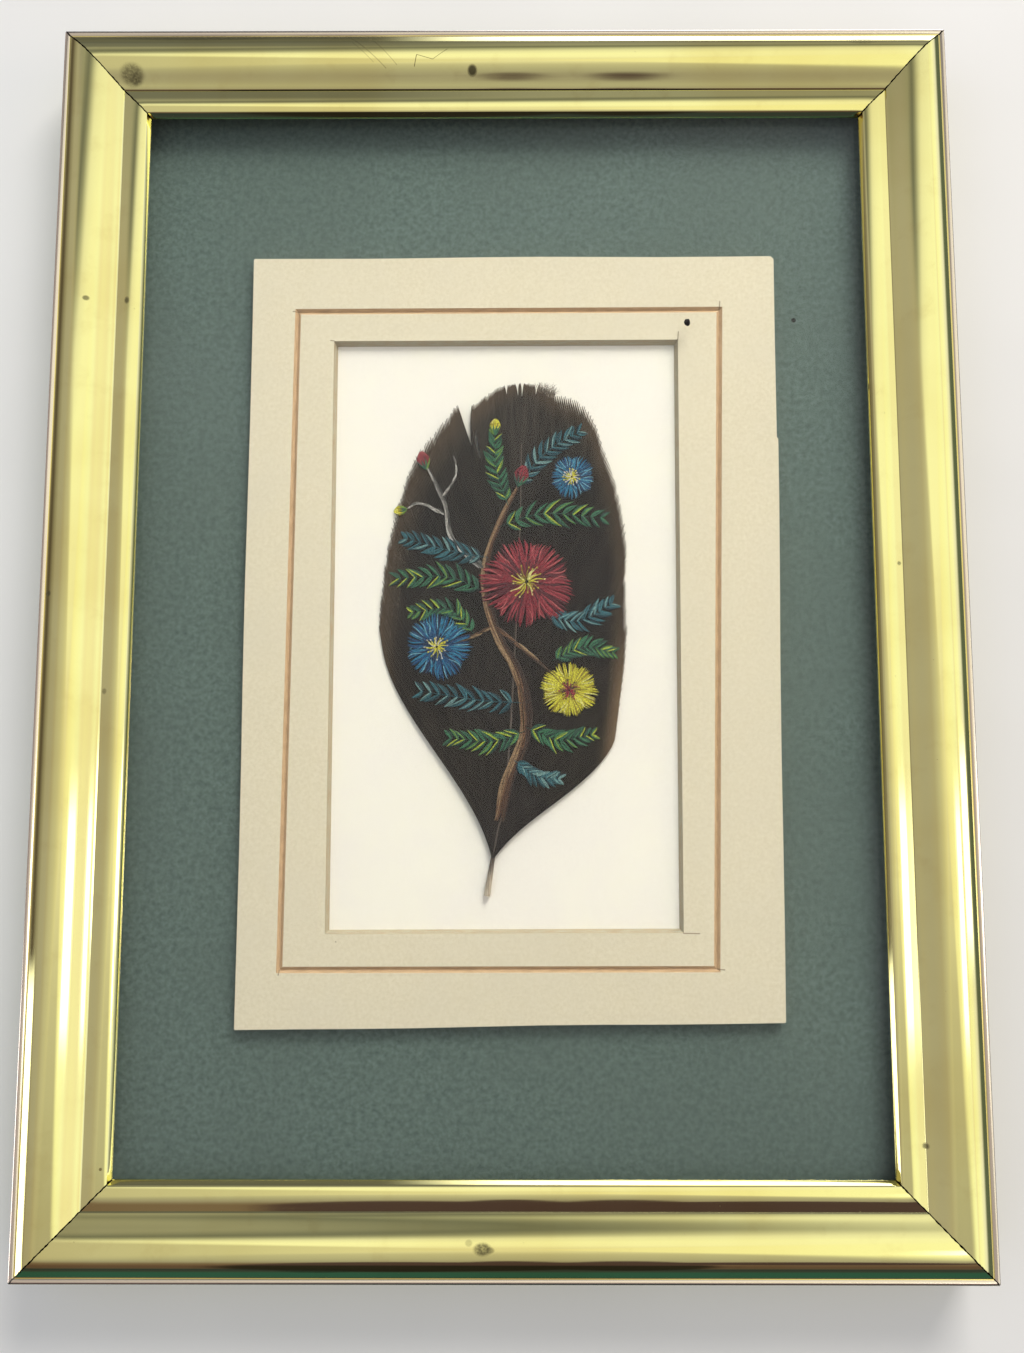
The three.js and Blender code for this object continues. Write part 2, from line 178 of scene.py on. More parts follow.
def finish_named(name, **principled):
    """A new material with one Principled shader, whose plain values are given."""
    made = bpy.data.materials.new(name)
    made.use_nodes = True
    tree = made.node_tree
    shader = tree.nodes["Principled BSDF"]
    feed(tree, shader, **principled)
    return made, tree, shader, add(tree, "TexCoord").outputs["Object"]


def feed(tree, shader, **sockets):
    for name, source in sockets.items():
        plug(tree, source, shader.inputs[name.replace("_", " ")])


# Materials

# Marks on the moulding: place and half sizes in millimetres, then how dark
BRASS_STAINS = [
    ((-60.6, 89.6, 11.0), (1.8, 1.45, 3), 0.7), ((-60.1, 89.1, 11.0), (0.9, 0.8, 3), 0.5),
    ((-5.2, 90.15, 11.0), (0.7, 0.7, 3), 0.95), ((-3.0, -92.0, 11.0), (1.2, 0.8, 3), 0.85),
    ((-1.9, -92.1, 11.0), (0.6, 0.4, 3), 0.5), ((-5.0, -91.2, 11.0), (0.5, 0.4, 3), 0.3),
    ((-70.3, 4.0, 10.7), (0.45, 0.45, 3), 0.8), ((62.2, -78.3, 11.0), (0.5, 0.5, 3), 0.8),
    ((-66.2, 51.3, 11.0), (0.5, 0.4, 3), 0.7), ((-60.5, 51.9, 11.0), (0.4, 0.6, 3), 0.8),
    ((-61.7, -11.0, 11.0), (0.4, 0.5, 3), 0.5), ((61.6, 9.0, 11.0), (0.35, 0.35, 3), 0.7),
    ((-50.0, 96.0, 10.5), (14, 0.9, 3), 0.5), ((-28.0, 96.2, 10.5), (9, 0.7, 3), 0.4),
    ((58.0, 94.6, 11.0), (2.2, 0.6, 3), 0.4), ((-27.0, -95.0, 11.0), (5, 0.35, 3), 0.4),
]
# A stain with a half width over this is blotched
BLOTCHED_FROM = 0.8
# Scratches: start and end on the face and half width in millimetres, then how dark
BRASS_SCRATCHES = [
    ((-14.6, 90.6), (-14.2, 92.3), 0.09, 0.8), ((-14.2, 92.3), (-11.6, 91.6), 0.07, 0.7),
    ((-11.6, 91.6), (-9.2, 93.2), 0.07, 0.6), ((-26.0, 96.4), (-19.2, 90.4), 0.12, 0.3),
    ((-22.6, 96.2), (-17.4, 90.8), 0.08, 0.35), ((-24.6, 94.4), (-21.2, 91.2), 0.07, 0.3),
]
# Where the pale pinkish, duller rim on the outer lip starts, in metres from the middle of the frame, and over
# how much it comes in
RIM_X = 0.0711
RIM_Y = 0.0966
RIM_EDGE = 0.0001
# The wall below this height is brass again, and the rim fades out over this much of it
RIM_Z = 0.0101
RIM_FADE = 0.0008


def brass_finish():
    """Cartridge brass, drawn and buffed, then left to tarnish: a yellow mirror with a faint grain along
    each length, thin brown films, pin spots and rub marks that dull it."""
    made, tree, shader, at = finish_named("buffed_brass", Metallic=1.0)
    along_rail = add(tree, "Attribute", attribute_name="grain").outputs["Vector"]
    drawn = add(tree, "Mapping", {"Vector": along_rail, "Scale": (0.03, 1, 1)})
    grain = add(tree, "TexNoise", drawn, scale_for(0.35), 3, 0.6)
    film = add(tree, "TexNoise", at, scale_for(30), 3, 0.55)
    cloud = past(tree, (add(tree, "TexNoise", at, scale_for(5), 4, 0.6), 0.52, 0.78))
    pins = specks(tree, at, 7.5, 0.28, 0.2)
    fine_pins = specks(tree, at, 2.6, 0.09, 0.22)
    colour = toned(tree, linear("#f7efa0"), film, 0.45, 0.72, "#efe392")
    colour = laid_over(tree, colour, cloud, "#cdb163", 0.16)
    colour = laid_over(tree, colour, pins, "#66502b", 0.75)
    colour = laid_over(tree, colour, fine_pins, "#7a633a", 0.5)
    dull = add(tree, "Math", pins, fine_pins, operation="MAXIMUM")
    fine = add(tree, "TexNoise", at, scale_for(0.4), 3, 0.7)
    blotch = add(tree, "MapRange", fine, 0.3, 0.62, 0.6, 1, **SOFT)
    for place, radii, depth in BRASS_STAINS:
        texture = blotch if radii[0] > BLOTCHED_FROM else 1
        stain = product(tree, spot(tree, at, place, radii), product(tree, texture, depth))
        colour = laid_over(tree, colour, stain, "#5d573c")
        dull = add(tree, "Math", dull, stain, operation="MAXIMUM")
    for start, end, half_width, depth in BRASS_SCRATCHES:
        scratch = product(tree, line_mask(tree, at, start, end, half_width), depth)
        colour = laid_over(tree, colour, scratch, "#6b5a36")
        dull = add(tree, "Math", dull, scratch, operation="MAXIMUM")
    across_x, across_y, height = add(tree, "SeparateXYZ", at).outputs
    sides = [past(tree, (add(tree, "Math", across, operation="ABSOLUTE"), start, start + RIM_EDGE))
             for across, start in ((across_x, RIM_X), (across_y, RIM_Y))]
    rim = product(tree, add(tree, "Math", *sides, operation="MAXIMUM"),
                  past(tree, (height, RIM_Z - RIM_FADE, RIM_Z)))
    colour = laid_over(tree, colour, rim, "#e9d6cb", 0.75)
    dull = add(tree, "Math", dull, product(tree, rim, 0.35), operation="MAXIMUM")
    rough = add(tree, "MapRange", grain, 0.3, 0.75, 0.05, 0.09, **SOFT)
    rough = add(tree, "Math", rough, product(tree, dull, 0.3), operation="ADD")
    rough = add(tree, "Math", rough, product(tree, cloud, 0.04), operation="ADD")
    waver = add(tree, "TexNoise", at, scale_for(14), 2, 0.55)
    ripple = add(tree, "Math", waver, product(tree, grain, 0.02), operation="ADD")
    relief = add(tree, "Bump", {"Height": ripple, "Distance": 0.02 * MM, "Strength": 0.2})
    feed(tree, shader, Base_Color=colour, Roughness=rough, Normal=relief)
    return made


def sawn_finish():
    """The sawn mitre faces: brass gone dull and brown, so that the joint reads as a dark line."""
    made, tree, shader, at = finish_named("sawn_brass_end", Metallic=1.0, Roughness=0.55)
    saw_marks = add(tree, "Mapping", {"Vector": at, "Scale": (1, 1, 6)})
    cut = add(tree, "TexNoise", saw_marks, scale_for(0.4), 3, 0.55)
    feed(tree, shader, Base_Color=toned(tree, linear("#2a2012"), cut, 0.3, 0.7, "#57452a"))
    return made


def glass_finish():
    """Float glass, 2 mm: clear, a trace of green, and a faint mirror. Lamps shine through it."""
    made, tree, shader, _ = finish_named(
        "float_glass", Base_Color=linear("#fdfefd"), Roughness=0.0, IOR=1.5, Transmission_Weight=1.0,
        Specular_Tint=linear("#8c8c8c"))
    clear = add(tree, "BsdfTransparent", {"Color": linear("#f9fbfa")})
    lamp_ray = add(tree, "LightPath").outputs["Is Shadow Ray"]
    both = add(tree, "MixShader", lamp_ray, shader, clear)
    plug(tree, both, tree.nodes["Material Output"].inputs["Surface"])
    return made


def green_board_finish():
    """Grey-green mount board: a matt paper face with flecked fibres and a few dark bits."""
    made, tree, shader, at = finish_named("grey_green_mount_board", Roughness=0.9)
    mottle = add(tree, "TexNoise", at, scale_for(0.8), 5, 0.75)
    broad = add(tree, "TexNoise", at, scale_for(30), 2, 0.55)
    lengthwise = add(tree, "Mapping", {"Vector": at, "Scale": (1, 0.35, 1)})
    fibres = add(tree, "TexNoise", lengthwise, scale_for(0.35), 3, 0.7)
    colour = toned(tree, linear("#495a54"), mottle, 0.3, 0.7, "#64756f")
    colour = toned(tree, colour, broad, 0.35, 0.65, "#55635d", 0.35)
    colour = toned(tree, colour, fibres, 0.62, 0.75, "#75817a", 0.4)
    colour = laid_over(tree, colour, specks(tree, at, 7.5, 0.16, 0.2), "#2c3531", 0.7)
    colour = laid_over(tree, colour, spot(tree, at, (47.3, 50.2, 4.9), (0.38, 0.38, 1), 0.3), "#22231f")
    grain = add(tree, "Math", fibres, mottle, operation="ADD")
    relief = add(tree, "Bump", {"Height": grain, "Distance": 0.03 * MM, "Strength": 0.5})
    feed(tree, shader, Base_Color=colour, Normal=relief)
    return made


def cut_mask(tree):
    """1 where a face of the board is cut, 0 on its paper face."""
    normal = add(tree, "NewGeometry").outputs["Normal"]
    up = add(tree, "SeparateXYZ", normal).outputs[2]
    return add(tree, "MapRange", up, 0.9, 0.97, 1, 0, **SOFT)


# Half sizes of a rectangle between the mat's window and its groove, in millimetres. The cut faces inside it,
# the window bevels, are painted greyer than the core as painted shade
INSIDE_GROOVE = (29.5, 49.6)
# Knife overruns at the window and groove corners: ends in millimetres on the top face
OVERCUTS = [
    ((28.05, 46.1), (28.2, 47.7)), ((27.4, -47.95), (30.0, -48.0)), ((-25.8, -49.25), (-25.6, -49.25)),
    ((-27.5, 46.15), (-28.2, 46.2)), ((34.9, 51.4), (35.0, 52.8)), ((-33.5, 51.1), (-34.4, 51.1)),
    ((32.5, -53.35), (33.7, -53.4)), ((-34.3, -53.5), (-34.4, -54.3)),
]
OVERCUT_HALF_WIDTH = 0.13


def cream_mat_finish():
    """Cream mat board: a soft paper face over a pulp core that shows tan in the groove. The window bevels
    are painted greyer, a painted shade."""
    made, tree, shader, at = finish_named("cream_mat_board", Roughness=0.88)
    tooth = add(tree, "TexNoise", at, scale_for(0.5), 4, 0.7)
    cloud = add(tree, "TexNoise", at, scale_for(14), 3, 0.55)
    face = toned(tree, linear("#d3cab0"), tooth, 0.3, 0.7, "#dcd4bd")
    face = toned(tree, face, cloud, 0.35, 0.7, "#d4cdb9", 0.35)
    face = laid_over(tree, face, specks(tree, at, 9, 0.14, 0.15), "#9c8f70", 0.5)
    inside = []
    for across, limit in zip(add(tree, "SeparateXYZ", at).outputs, INSIDE_GROOVE):
        from_middle = add(tree, "Math", across, operation="ABSOLUTE")
        inside.append(add(tree, "Math", from_middle, limit * MM, operation="LESS_THAN"))
    # Painted shade: the window bevels inside the groove get a greyer colour than the tan core of the groove
    core = laid_over(tree, linear("#c9ab87"), product(tree, *inside), "#aaa48f")
    in_layers = add(tree, "Mapping", {"Vector": at, "Scale": (0.25, 0.25, 3)})
    layers = add(tree, "TexNoise", in_layers, scale_for(0.5), 3, 0.55)
    core = toned(tree, core, layers, 0.35, 0.65, "#a58a68", 0.5)
    colour = add(tree, "Mix", cut_mask(tree), face, core, **COLOUR)
    for start, end in OVERCUTS:
        overcut = line_mask(tree, at, start, end, OVERCUT_HALF_WIDTH)
        colour = laid_over(tree, colour, overcut, "#7d6e52", 0.75)
    grain = add(tree, "Math", tooth, cloud, operation="ADD")
    relief = add(tree, "Bump", {"Height": grain, "Distance": 0.025 * MM, "Strength": 0.5})
    feed(tree, shader, Base_Color=colour, Normal=relief)
    return made


def white_card_finish():
    """White drawing card: matt, with a fine tooth and a little foxing."""
    made, tree, shader, at = finish_named("white_drawing_card", Roughness=0.92)
    tooth = add(tree, "TexNoise", at, scale_for(0.4), 4, 0.7)
    cloud = add(tree, "TexNoise", at, scale_for(12), 3, 0.55)
    colour = toned(tree, linear("#f0ede0"), cloud, 0.35, 0.65, "#ede9e1")
    colour = toned(tree, colour, tooth, 0.3, 0.7, "#f4f1e8", 0.5)
    colour = laid_over(tree, colour, specks(tree, at, 8, 0.16, 0.16), "#9a8c74", 0.35)
    relief = add(tree, "Bump", {"Height": tooth, "Distance": 0.02 * MM, "Strength": 0.6})
    feed(tree, shader, Base_Color=colour, Normal=relief)
    return made


def backing_finish():
    """Grey-brown millboard: pressed waste pulp with flecks of paler and darker fibre."""
    made, tree, shader, at = finish_named("pulp_millboard", Roughness=0.95)
    pulp = add(tree, "TexNoise", at, scale_for(2.5), 6, 0.75)
    crosswise = add(tree, "Mapping", {"Vector": at, "Scale": (0.3, 1, 1)})
    fibres = add(tree, "TexNoise", crosswise, scale_for(0.6), 3, 0.7)
    colour = toned(tree, linear("#7d705d"), pulp, 0.3, 0.7, "#978972")
    colour = toned(tree, colour, fibres, 0.6, 0.72, "#b6a98f", 0.6)
    colour = laid_over(tree, colour, specks(tree, at, 4, 0.22, 0.3), "#4c4234", 0.6)
    grain = add(tree, "Math", fibres, pulp, operation="ADD")
    relief = add(tree, "Bump", {"Height": grain, "Distance": 0.05 * MM, "Strength": 0.6})
    feed(tree, shader, Base_Color=colour, Normal=relief)
    return made


# The pale upper part of the vane, in millimetres up the picture, and the worn tips low on its right
PALE_FROM = 18
PALE_TO = 36
WORN_PLACE = (15, -15, 6)
WORN_RADII = (8, 11, 9)


def vane_finish():
    """Melanin-dark feather barbs: near black along the shaft, brown and thinner at the barb tips,
    with a dry, silky gloss across the barbs."""
    made, tree, shader, at = finish_named("dark_feather_barbs", Roughness=0.6, Specular_IOR_Level=0.16)
    reach = add(tree, "Attribute", attribute_name="reach").outputs["Fac"]
    tone = add(tree, "Attribute", attribute_name="tone").outputs["Fac"]
    lengthwise = add(tree, "Mapping", {"Vector": at, "Scale": (1, 0.12, 1)})
    streak = add(tree, "TexNoise", lengthwise, scale_for(0.7), 3, 0.55)
    streaked = add(tree, "MapRange", streak, 0.3, 0.7, 0.3, 1, **SOFT)
    up = add(tree, "SeparateXYZ", at).outputs[1]
    upper = add(tree, "MapRange", up, PALE_FROM * MM, PALE_TO * MM, 0, 0.8, **SOFT)
    worn = product(tree, spot(tree, at, WORN_PLACE, WORN_RADII, 0.6), 0.6)
    worn = add(tree, "Math", 0.3, worn, operation="ADD")
    colour = toned(tree, linear("#1f1c19"), streak, 0.35, 0.7, "#2a2622")
    colour = laid_over(tree, colour, tone, "#3b352f", 0.3)
    colour = laid_over(tree, colour, product(tree, upper, streaked), "#453f38")
    colour = laid_over(tree, colour, product(tree, past(tree, (reach, 0.76, 1.0)), worn), "#77634c")
    feed(tree, shader, Base_Color=colour)
    return made


def down_finish():
    """Loose barbules and frayed tips: fine, dull, grey-brown filaments."""
    made, tree, shader, at = finish_named("frayed_barbules", Roughness=0.7)
    tint = add(tree, "TexNoise", at, scale_for(0.6), 2, 0.55)
    feed(tree, shader, Base_Color=toned(tree, linear("#51473d"), tint, 0.35, 0.65, "#85796b"))
    return made


# Where the bare quill darkens into the shaft, in millimetres up the picture
QUILL_PALE = -41.5
QUILL_DARK = -37


def quill_finish():
    """Keratin quill: horn-coloured and waxy at the cut end, darker where the vane begins."""
    made, tree, shader, at = finish_named("horn_quill", Roughness=0.35, Coat_Weight=0.15)
    up = add(tree, "SeparateXYZ", at).outputs[1]
    lengthwise = add(tree, "Mapping", {"Vector": at, "Scale": (1, 0.08, 1)})
    grain = add(tree, "TexNoise", lengthwise, scale_for(0.25), 3, 0.55)
    colour = toned(tree, linear("#b6aa96"), grain, 0.35, 0.65, "#8f8270")
    colour = toned(tree, colour, up, QUILL_PALE * MM, QUILL_DARK * MM, "#4a3f35")
    feed(tree, shader, Base_Color=colour)
    return made


def paint_finish():
    """Artist's acrylic laid on in single strokes: a satin film, its colour streaked by the bristles."""
    made, tree, shader, at = finish_named("brushed_acrylic", Roughness=0.45, Specular_IOR_Level=0.4)
    tint = add(tree, "Attribute", attribute_name="tint").outputs["Color"]
    bristle = past(tree, (add(tree, "TexNoise", at, scale_for(0.22), 3, 0.7), 0.3, 0.75))
    dark = add(tree, "Mix", 1.0, tint, linear("#8c8c8c"), blend_type="MULTIPLY", **COLOUR)
    relief = add(tree, "Bump", {"Height": bristle, "Distance": 0.02 * MM, "Strength": 0.5})
    feed(tree, shader, Base_Color=add(tree, "Mix", bristle, dark, tint, **COLOUR), Normal=relief)
    return made


def crumb_finish():
    """A black crumb of dirt."""
    made, tree, shader, at = finish_named("dirt_crumb", Roughness=0.8)
    tint = add(tree, "TexNoise", at, scale_for(0.3), 3, 0.55)
    feed(tree, shader, Base_Color=toned(tree, linear("#0c0b0a"), tint, 0.3, 0.7, "#2a2521"))
    return made


def floor_finish():
    """Plain matt white studio board."""
    made, tree, shader, at = finish_named("white_studio_board", Roughness=0.9)
    tint = add(tree, "TexNoise", at, scale_for(40), 2, 0.55)
    feed(tree, shader, Base_Color=toned(tree, linear("#f3f3f1"), tint, 0.3, 0.7, "#f6f6f4"))
    return made


BRASS = brass_finish()
SAWN = sawn_finish()
GLASS = glass_finish()
GREEN_BOARD = green_board_finish()
CREAM_MAT = cream_mat_finish()
WHITE_CARD = white_card_finish()
BACKING = backing_finish()
VANE = vane_finish()
DOWN = down_finish()
QUILL = quill_finish()
PAINT = paint_finish()
CRUMB = crumb_finish()
FLOOR = floor_finish()

# Mesh helpers


def in_scene(name, data):
    made = bpy.data.objects.new(name, data)
    bpy.context.scene.collection.objects.link(made)
    return made


def mesh_object(name, points_mm, faces, material, smooth_angle=None):
    """A mesh piece from points in millimetres."""
    mesh = bpy.data.meshes.new(name)
    mesh.from_pydata([[c * MM for c in p] for p in points_mm], [], faces)
    mesh.update()
    if smooth_angle is not None:
        mesh.shade_smooth()
        mesh.set_sharp_from_angle(angle=math.radians(smooth_angle))
    mesh.materials.append(material)
    return in_scene(name, mesh)


def keep(piece, slot, *replaced):
    """A finished piece of the object: it rides on the one body and may stand for CAD nodes."""
    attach(piece, "root")
    if replaced:
        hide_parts(*replaced)


# Moulding: distances across the rail from its outer edge, heights from the back, in millimetres

RAIL_WIDTH = 14.0
REBATE_WIDTH = 6.3
REBATE_Z = PANE_HIGH[2]
BACK_CHAMFER = 0.4
MITRE_GAP = 0.01
MITRE_EASE = (0.05, 0.15)
MITRE_DROP = 0.3
WALL_TOP = 10.15
LIP = [(0.04, 10.35), (0.14, 10.49), (0.28, 10.56), (0.43, 10.58), (0.6, 10.56), (0.74, 10.5), (0.88, 10.41)]
# The face inside the lip: how many degrees it falls, outward where negative, at places across the rail
FACE_SLOPES = [
    (0.95, -38), (1.8, -32), (2.6, -24), (3.3, -11), (4.1, 0), (4.7, 3.5), (5.4, 10.5), (6.0, 17.5),
    (6.6, 24), (7.2, 29.5), (7.9, 32.5), (8.6, 31.5), (9.35, 28),
]
PEAK_AT = 4.1
FACE_STEPS = 44
# Past the face a small step goes down to a shallow flank, then comes a round bead and its inner edge
ARRIS = [(9.6, -0.15), (9.68, -0.2), (9.73, -0.26)]
FLANK = [(9.82, 9.37), (10.3, 9.44), (10.7, 9.5), (11.0, 9.545), (11.3, 9.575), (11.6, 9.595)]
BEAD_CREST = (11.85, 9.6)
BEAD_RADIUS = 3.6
BEAD_END = 13.36
BEAD_STEPS = 9
INNER_EDGE = [(13.42, 9.22), (13.49, 9.14), (13.9, 8.6), (13.96, 8.5)]
RAIL_STEPS = 90
# Edges that turn by more than this many degrees stay crisp
CREASE_DEG = 38
# The waver of the drawn brass: how many waves, and the least and most of their length and depth
WAVES = 4
WAVE_LENGTHS = (18, 60)
WAVE_DEPTHS = (0.004, 0.012)
# The waver keeps to the show face, which lies above and outside these
FACE_ABOVE = REBATE_Z + 0.2
FACE_OUTSIDE = RAIL_WIDTH - 0.1


def fallen(places):
    """How far the face has fallen from its peak at each place, by adding up its slope."""
    fine = np.linspace(FACE_SLOPES[0][0], FACE_SLOPES[-1][0], 400)
    slope = np.tan(np.radians(np.interp(fine, *zip(*FACE_SLOPES))))
    drop = np.concatenate([[0], np.cumsum((slope[1:] + slope[:-1]) / 2 * np.diff(fine))])
    return np.interp(places, fine, drop) - np.interp(PEAK_AT, fine, drop)


def moulding_section():
    """The closed outline of the moulding, from the back chamfer up the wall and over to the rebate."""
    peak = FRAME_DEPTH
    outline = [(BACK_CHAMFER, 0), (0, BACK_CHAMFER), (0, WALL_TOP * 0.5), (0, WALL_TOP), *LIP]
    places = np.linspace(FACE_SLOPES[0][0], FACE_SLOPES[-1][0], FACE_STEPS)
    places[np.argmin(np.abs(places - PEAK_AT))] = PEAK_AT
    outline += [(d, peak - drop) for d, drop in zip(places, fallen(places))]
    end_z = outline[-1][1]
    outline += [(d, end_z + z) for d, z in ARRIS]
    outline += FLANK
    crest, crest_z = BEAD_CREST
    for d in np.linspace(crest, BEAD_END, BEAD_STEPS):
        outline.append((d, crest_z - BEAD_RADIUS + math.sqrt(BEAD_RADIUS ** 2 - (d - crest) ** 2)))
    outline += INNER_EDGE
    outline += [(RAIL_WIDTH, REBATE_Z), (RAIL_WIDTH - REBATE_WIDTH, REBATE_Z), (RAIL_WIDTH - REBATE_WIDTH, 0)]
    return outline


def build_rail(name, length, turn, reach, seed):
    """One mitred length of moulding. Its show face wanders by hundredths of a millimetre, as drawn
    brass does."""
    section = moulding_section()
    rng = random.Random(seed)
    waves = [(rng.uniform(*WAVE_LENGTHS), rng.uniform(0, 6.28), rng.uniform(*WAVE_DEPTHS))
             for _ in range(WAVES)]
    deepest = sum(depth for _, _, depth in waves)
    eased = [rng.uniform(*MITRE_EASE) * math.sqrt(2) for _ in section]
    stations = [(-1, 0)] + [(2 * i / RAIL_STEPS - 1, 1) for i in range(RAIL_STEPS + 1)] + [(1, 0)]
    points = []
    for share, inside in stations:
        for (across, height), ease in zip(section, eased):
            along = share * (length / 2 - across - MITRE_GAP - ease * inside)
            wander = sum(depth * math.sin(along / wave + start + across * 0.2)
                         for wave, start, depth in waves)
            on_face = 1.0 if height > FACE_ABOVE and across < FACE_OUTSIDE else 0.0
            fade = 1 - abs(share) ** 8
            fall = (deepest - wander) * fade + MITRE_DROP * (1 - inside)
            points.append((along, across, height - fall * on_face))
    count = len(section)
    faces = []
    last = len(stations) - 1
    for i in range(last):
        for k in range(count):
            a, b = i * count + k, i * count + (k + 1) % count
            faces.append((a, b, b + count, a + count))
    faces.append(tuple(range(count))[::-1])
    faces.append(tuple(range(last * count, (last + 1) * count)))
    spin = np.array([[math.cos(turn), -math.sin(turn), 0], [math.sin(turn), math.cos(turn), 0], [0, 0, 1]])
    shift = np.array([math.sin(turn) * reach, -math.cos(turn) * reach, 0])
    placed = np.array(points) @ spin.T + shift
    rail = mesh_object(name + "_moulding", placed.tolist(), faces, BRASS, CREASE_DEG)
    rail.data.materials.append(SAWN)
    for face in rail.data.polygons:
        if face.index < count or face.index >= (last - 1) * count:
            face.material_index = 1
    grain = rail.data.attributes.new("grain", "FLOAT_VECTOR", "POINT")
    grain.data.foreach_set("vector", (np.array(points) * MM + seed).ravel())
    return rail


RAILS = [
    ("rail_bottom", FRAME_WIDTH, 0.0, FRAME_HEIGHT / 2, 11),
    ("rail_right", FRAME_HEIGHT, math.pi / 2, FRAME_WIDTH / 2, 12),
    ("rail_top", FRAME_WIDTH, math.pi, FRAME_HEIGHT / 2, 13),
    ("rail_left", FRAME_HEIGHT, -math.pi / 2, FRAME_WIDTH / 2, 14),
]

for rail in RAILS:
    keep(build_rail(*rail), "brass", rail[0])

# Picture glass

GLASS_GAP = 0.04
GLASS_SEAM = 0.25


def build_pane():
    """The pane, a hair clear of the mat and the lip, with its cut edges rubbed down."""
    low_z, high_z = PANE_LOW[2] + GLASS_GAP, PANE_HIGH[2] - GLASS_GAP
    rings = []
    levels = [(GLASS_SEAM, low_z), (0, low_z + GLASS_SEAM), (0, high_z - GLASS_SEAM), (GLASS_SEAM, high_z)]
    for inset, z in levels:
        left, bottom = PANE_LOW[0] + inset, PANE_LOW[1] + inset
        right, top = PANE_HIGH[0] - inset, PANE_HIGH[1] - inset
        rings.append([(left, bottom, z), (right, bottom, z), (right, top, z), (left, top, z)])
    points = [p for ring in rings for p in ring]
    faces = [(3, 2, 1, 0), (12, 13, 14, 15)]
    for level in range(3):
        for i in range(4):
            a, b = level * 4 + i, level * 4 + (i + 1) % 4
            faces.append((a, b, b + 4, a + 4))
    return mesh_object("picture_glass", points, faces, GLASS)


keep(build_pane(), "picture_glass", "glass_pane")

# Boards: the CAD solids have the right shape and only need their finish


def dress(node, material):
    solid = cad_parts[node]
    solid.data.materials.clear()
    solid.data.materials.append(material)


dress("green_board", GREEN_BOARD)
dress("cream_mat", CREAM_MAT)
dress("white_card", WHITE_CARD)
dress("backing_board", BACKING)
for number in range(1, 7):
    dress(f"retaining_tab_{number}", BRASS)

# Feather: lines in millimetres on the card, as in the solids

QUILL_END = (-2.63, -42.4)
VANE_START = (-1.7, -36.6)
SHAFT_POINTS = [VANE_START, (-0.95, -32.4), (0.3, -26.2), (1.7, -4), (2.5, 15), (2.75, 29)]
TIP_MIDDLE = (2.75, 39.1)
LEFT_TIPS = [(-19.2, -4.3), (-19.75, -0.6), (-19.6, 3.3), (-19.2, 7.1), (-18.6, 12.5), (-17.5, 17),
             (-15.9, 22.8), (-14.2, 26.8), (-11.3, 30.8), (-9.2, 33.4), (-7.3, 35.2), (-5.2, 35.8),
             (-2.65, 37.2), (-1, 38.4), (1.25, 38.95), TIP_MIDDLE]
RIGHT_TIPS = [(17.4, -18.1), (18, -14), (18.6, -9.5), (19.05, -5.5), (19.45, -0.6), (19.2, 4.5), (19.3, 9),
              (19.45, 13), (19, 16.9), (18.2, 20.8), (17.25, 24.8), (16.5, 26.8), (15.8, 28.7), (14.5, 32.6),
              (12.9, 35.1), (10.7, 36.65), (9, 37), (7.4, 37.8), (5.5, 38.8), (4.2, 39.05), TIP_MIDDLE]
BARB_BENDS = {-1: ((-15, 13), (-15, -13)), 1: ((-11, 12), (-22, -13))}
BEND_SETTLES = 0.25
BEND_FADES = 0.8
BARB_HANDLE = 0.32
# How the tips of the barbs crowd toward the top, as a power of the rank
TIP_CROWDING = 1.25
VANE_LIFT = 0.26
VANE_CAMBER = 0.46
VANE_HALF_SPAN = 19.5


def smooth_line(points, samples=400):
    """A Catmull-Rom line through points, resampled evenly."""
    p = np.array(points, float)
    p = np.vstack([2 * p[0] - p[1], p, 2 * p[-1] - p[-2]])
    dense = []
    for i in range(1, len(p) - 2):
        for t in np.linspace(0, 1, 24, endpoint=False):
            a, b, c, d = p[i - 1:i + 3]
            dense.append(0.5 * (2 * b + (c - a) * t + (2 * a - 5 * b + 4 * c - d) * t ** 2
                                + (3 * b - a - 3 * c + d) * t ** 3))
    dense = np.array(dense + [p[-2]])
    length = np.concatenate([[0], np.cumsum(np.hypot(*np.diff(dense, axis=0).T))])
    even = np.linspace(0, length[-1], samples)
    return np.stack([np.interp(even, length, dense[:, k]) for k in range(dense.shape[1])], 1)


SHAFT_LINE = smooth_line(SHAFT_POINTS)
TIP_LINES = {-1: smooth_line(LEFT_TIPS), 1: smooth_line(RIGHT_TIPS)}


def along_line(line, share):
    place = np.clip(share, 0, 1) * (len(line) - 1)
    low = int(min(place, len(line) - 2))
    return line[low] + (line[low + 1] - line[low]) * (place - low)


def smoothstep(value, low, high):
    t = np.clip((value - low) / (high - low), 0, 1)
    return t * t * (3 - 2 * t)


def turned(vector, degrees):
    a = math.radians(degrees)
    return np.array([vector[0] * math.cos(a) - vector[1] * math.sin(a),
                     vector[0] * math.sin(a) + vector[1] * math.cos(a)])


def barb_line(side, rank, steps, tip_shift=0.0):
    """One barb of one vane, from the shaft to its tip. rank is 0 at the lowest and 1 at the highest."""
    root = along_line(SHAFT_LINE, rank)
    tip = along_line(TIP_LINES[side], 1 - (1 - rank) ** TIP_CROWDING)
    settled = smoothstep(rank, 0, BEND_SETTLES)
    (root_low, root_high), (tip_low, tip_high) = BARB_BENDS[side]
    handle = (tip - root) * BARB_HANDLE
    bent = -side * (1 - smoothstep(rank, BEND_FADES, 1))
    first = root + turned(handle, bent * (root_low + (root_high - root_low) * settled))
    second = tip - turned(handle, bent * (tip_low + (tip_high - tip_low) * settled))
    t = np.linspace(0, 1 + tip_shift, steps)[:, None]
    return (1 - t) ** 3 * root + 3 * (1 - t) ** 2 * t * first + 3 * (1 - t) * t ** 2 * second + t ** 3 * tip


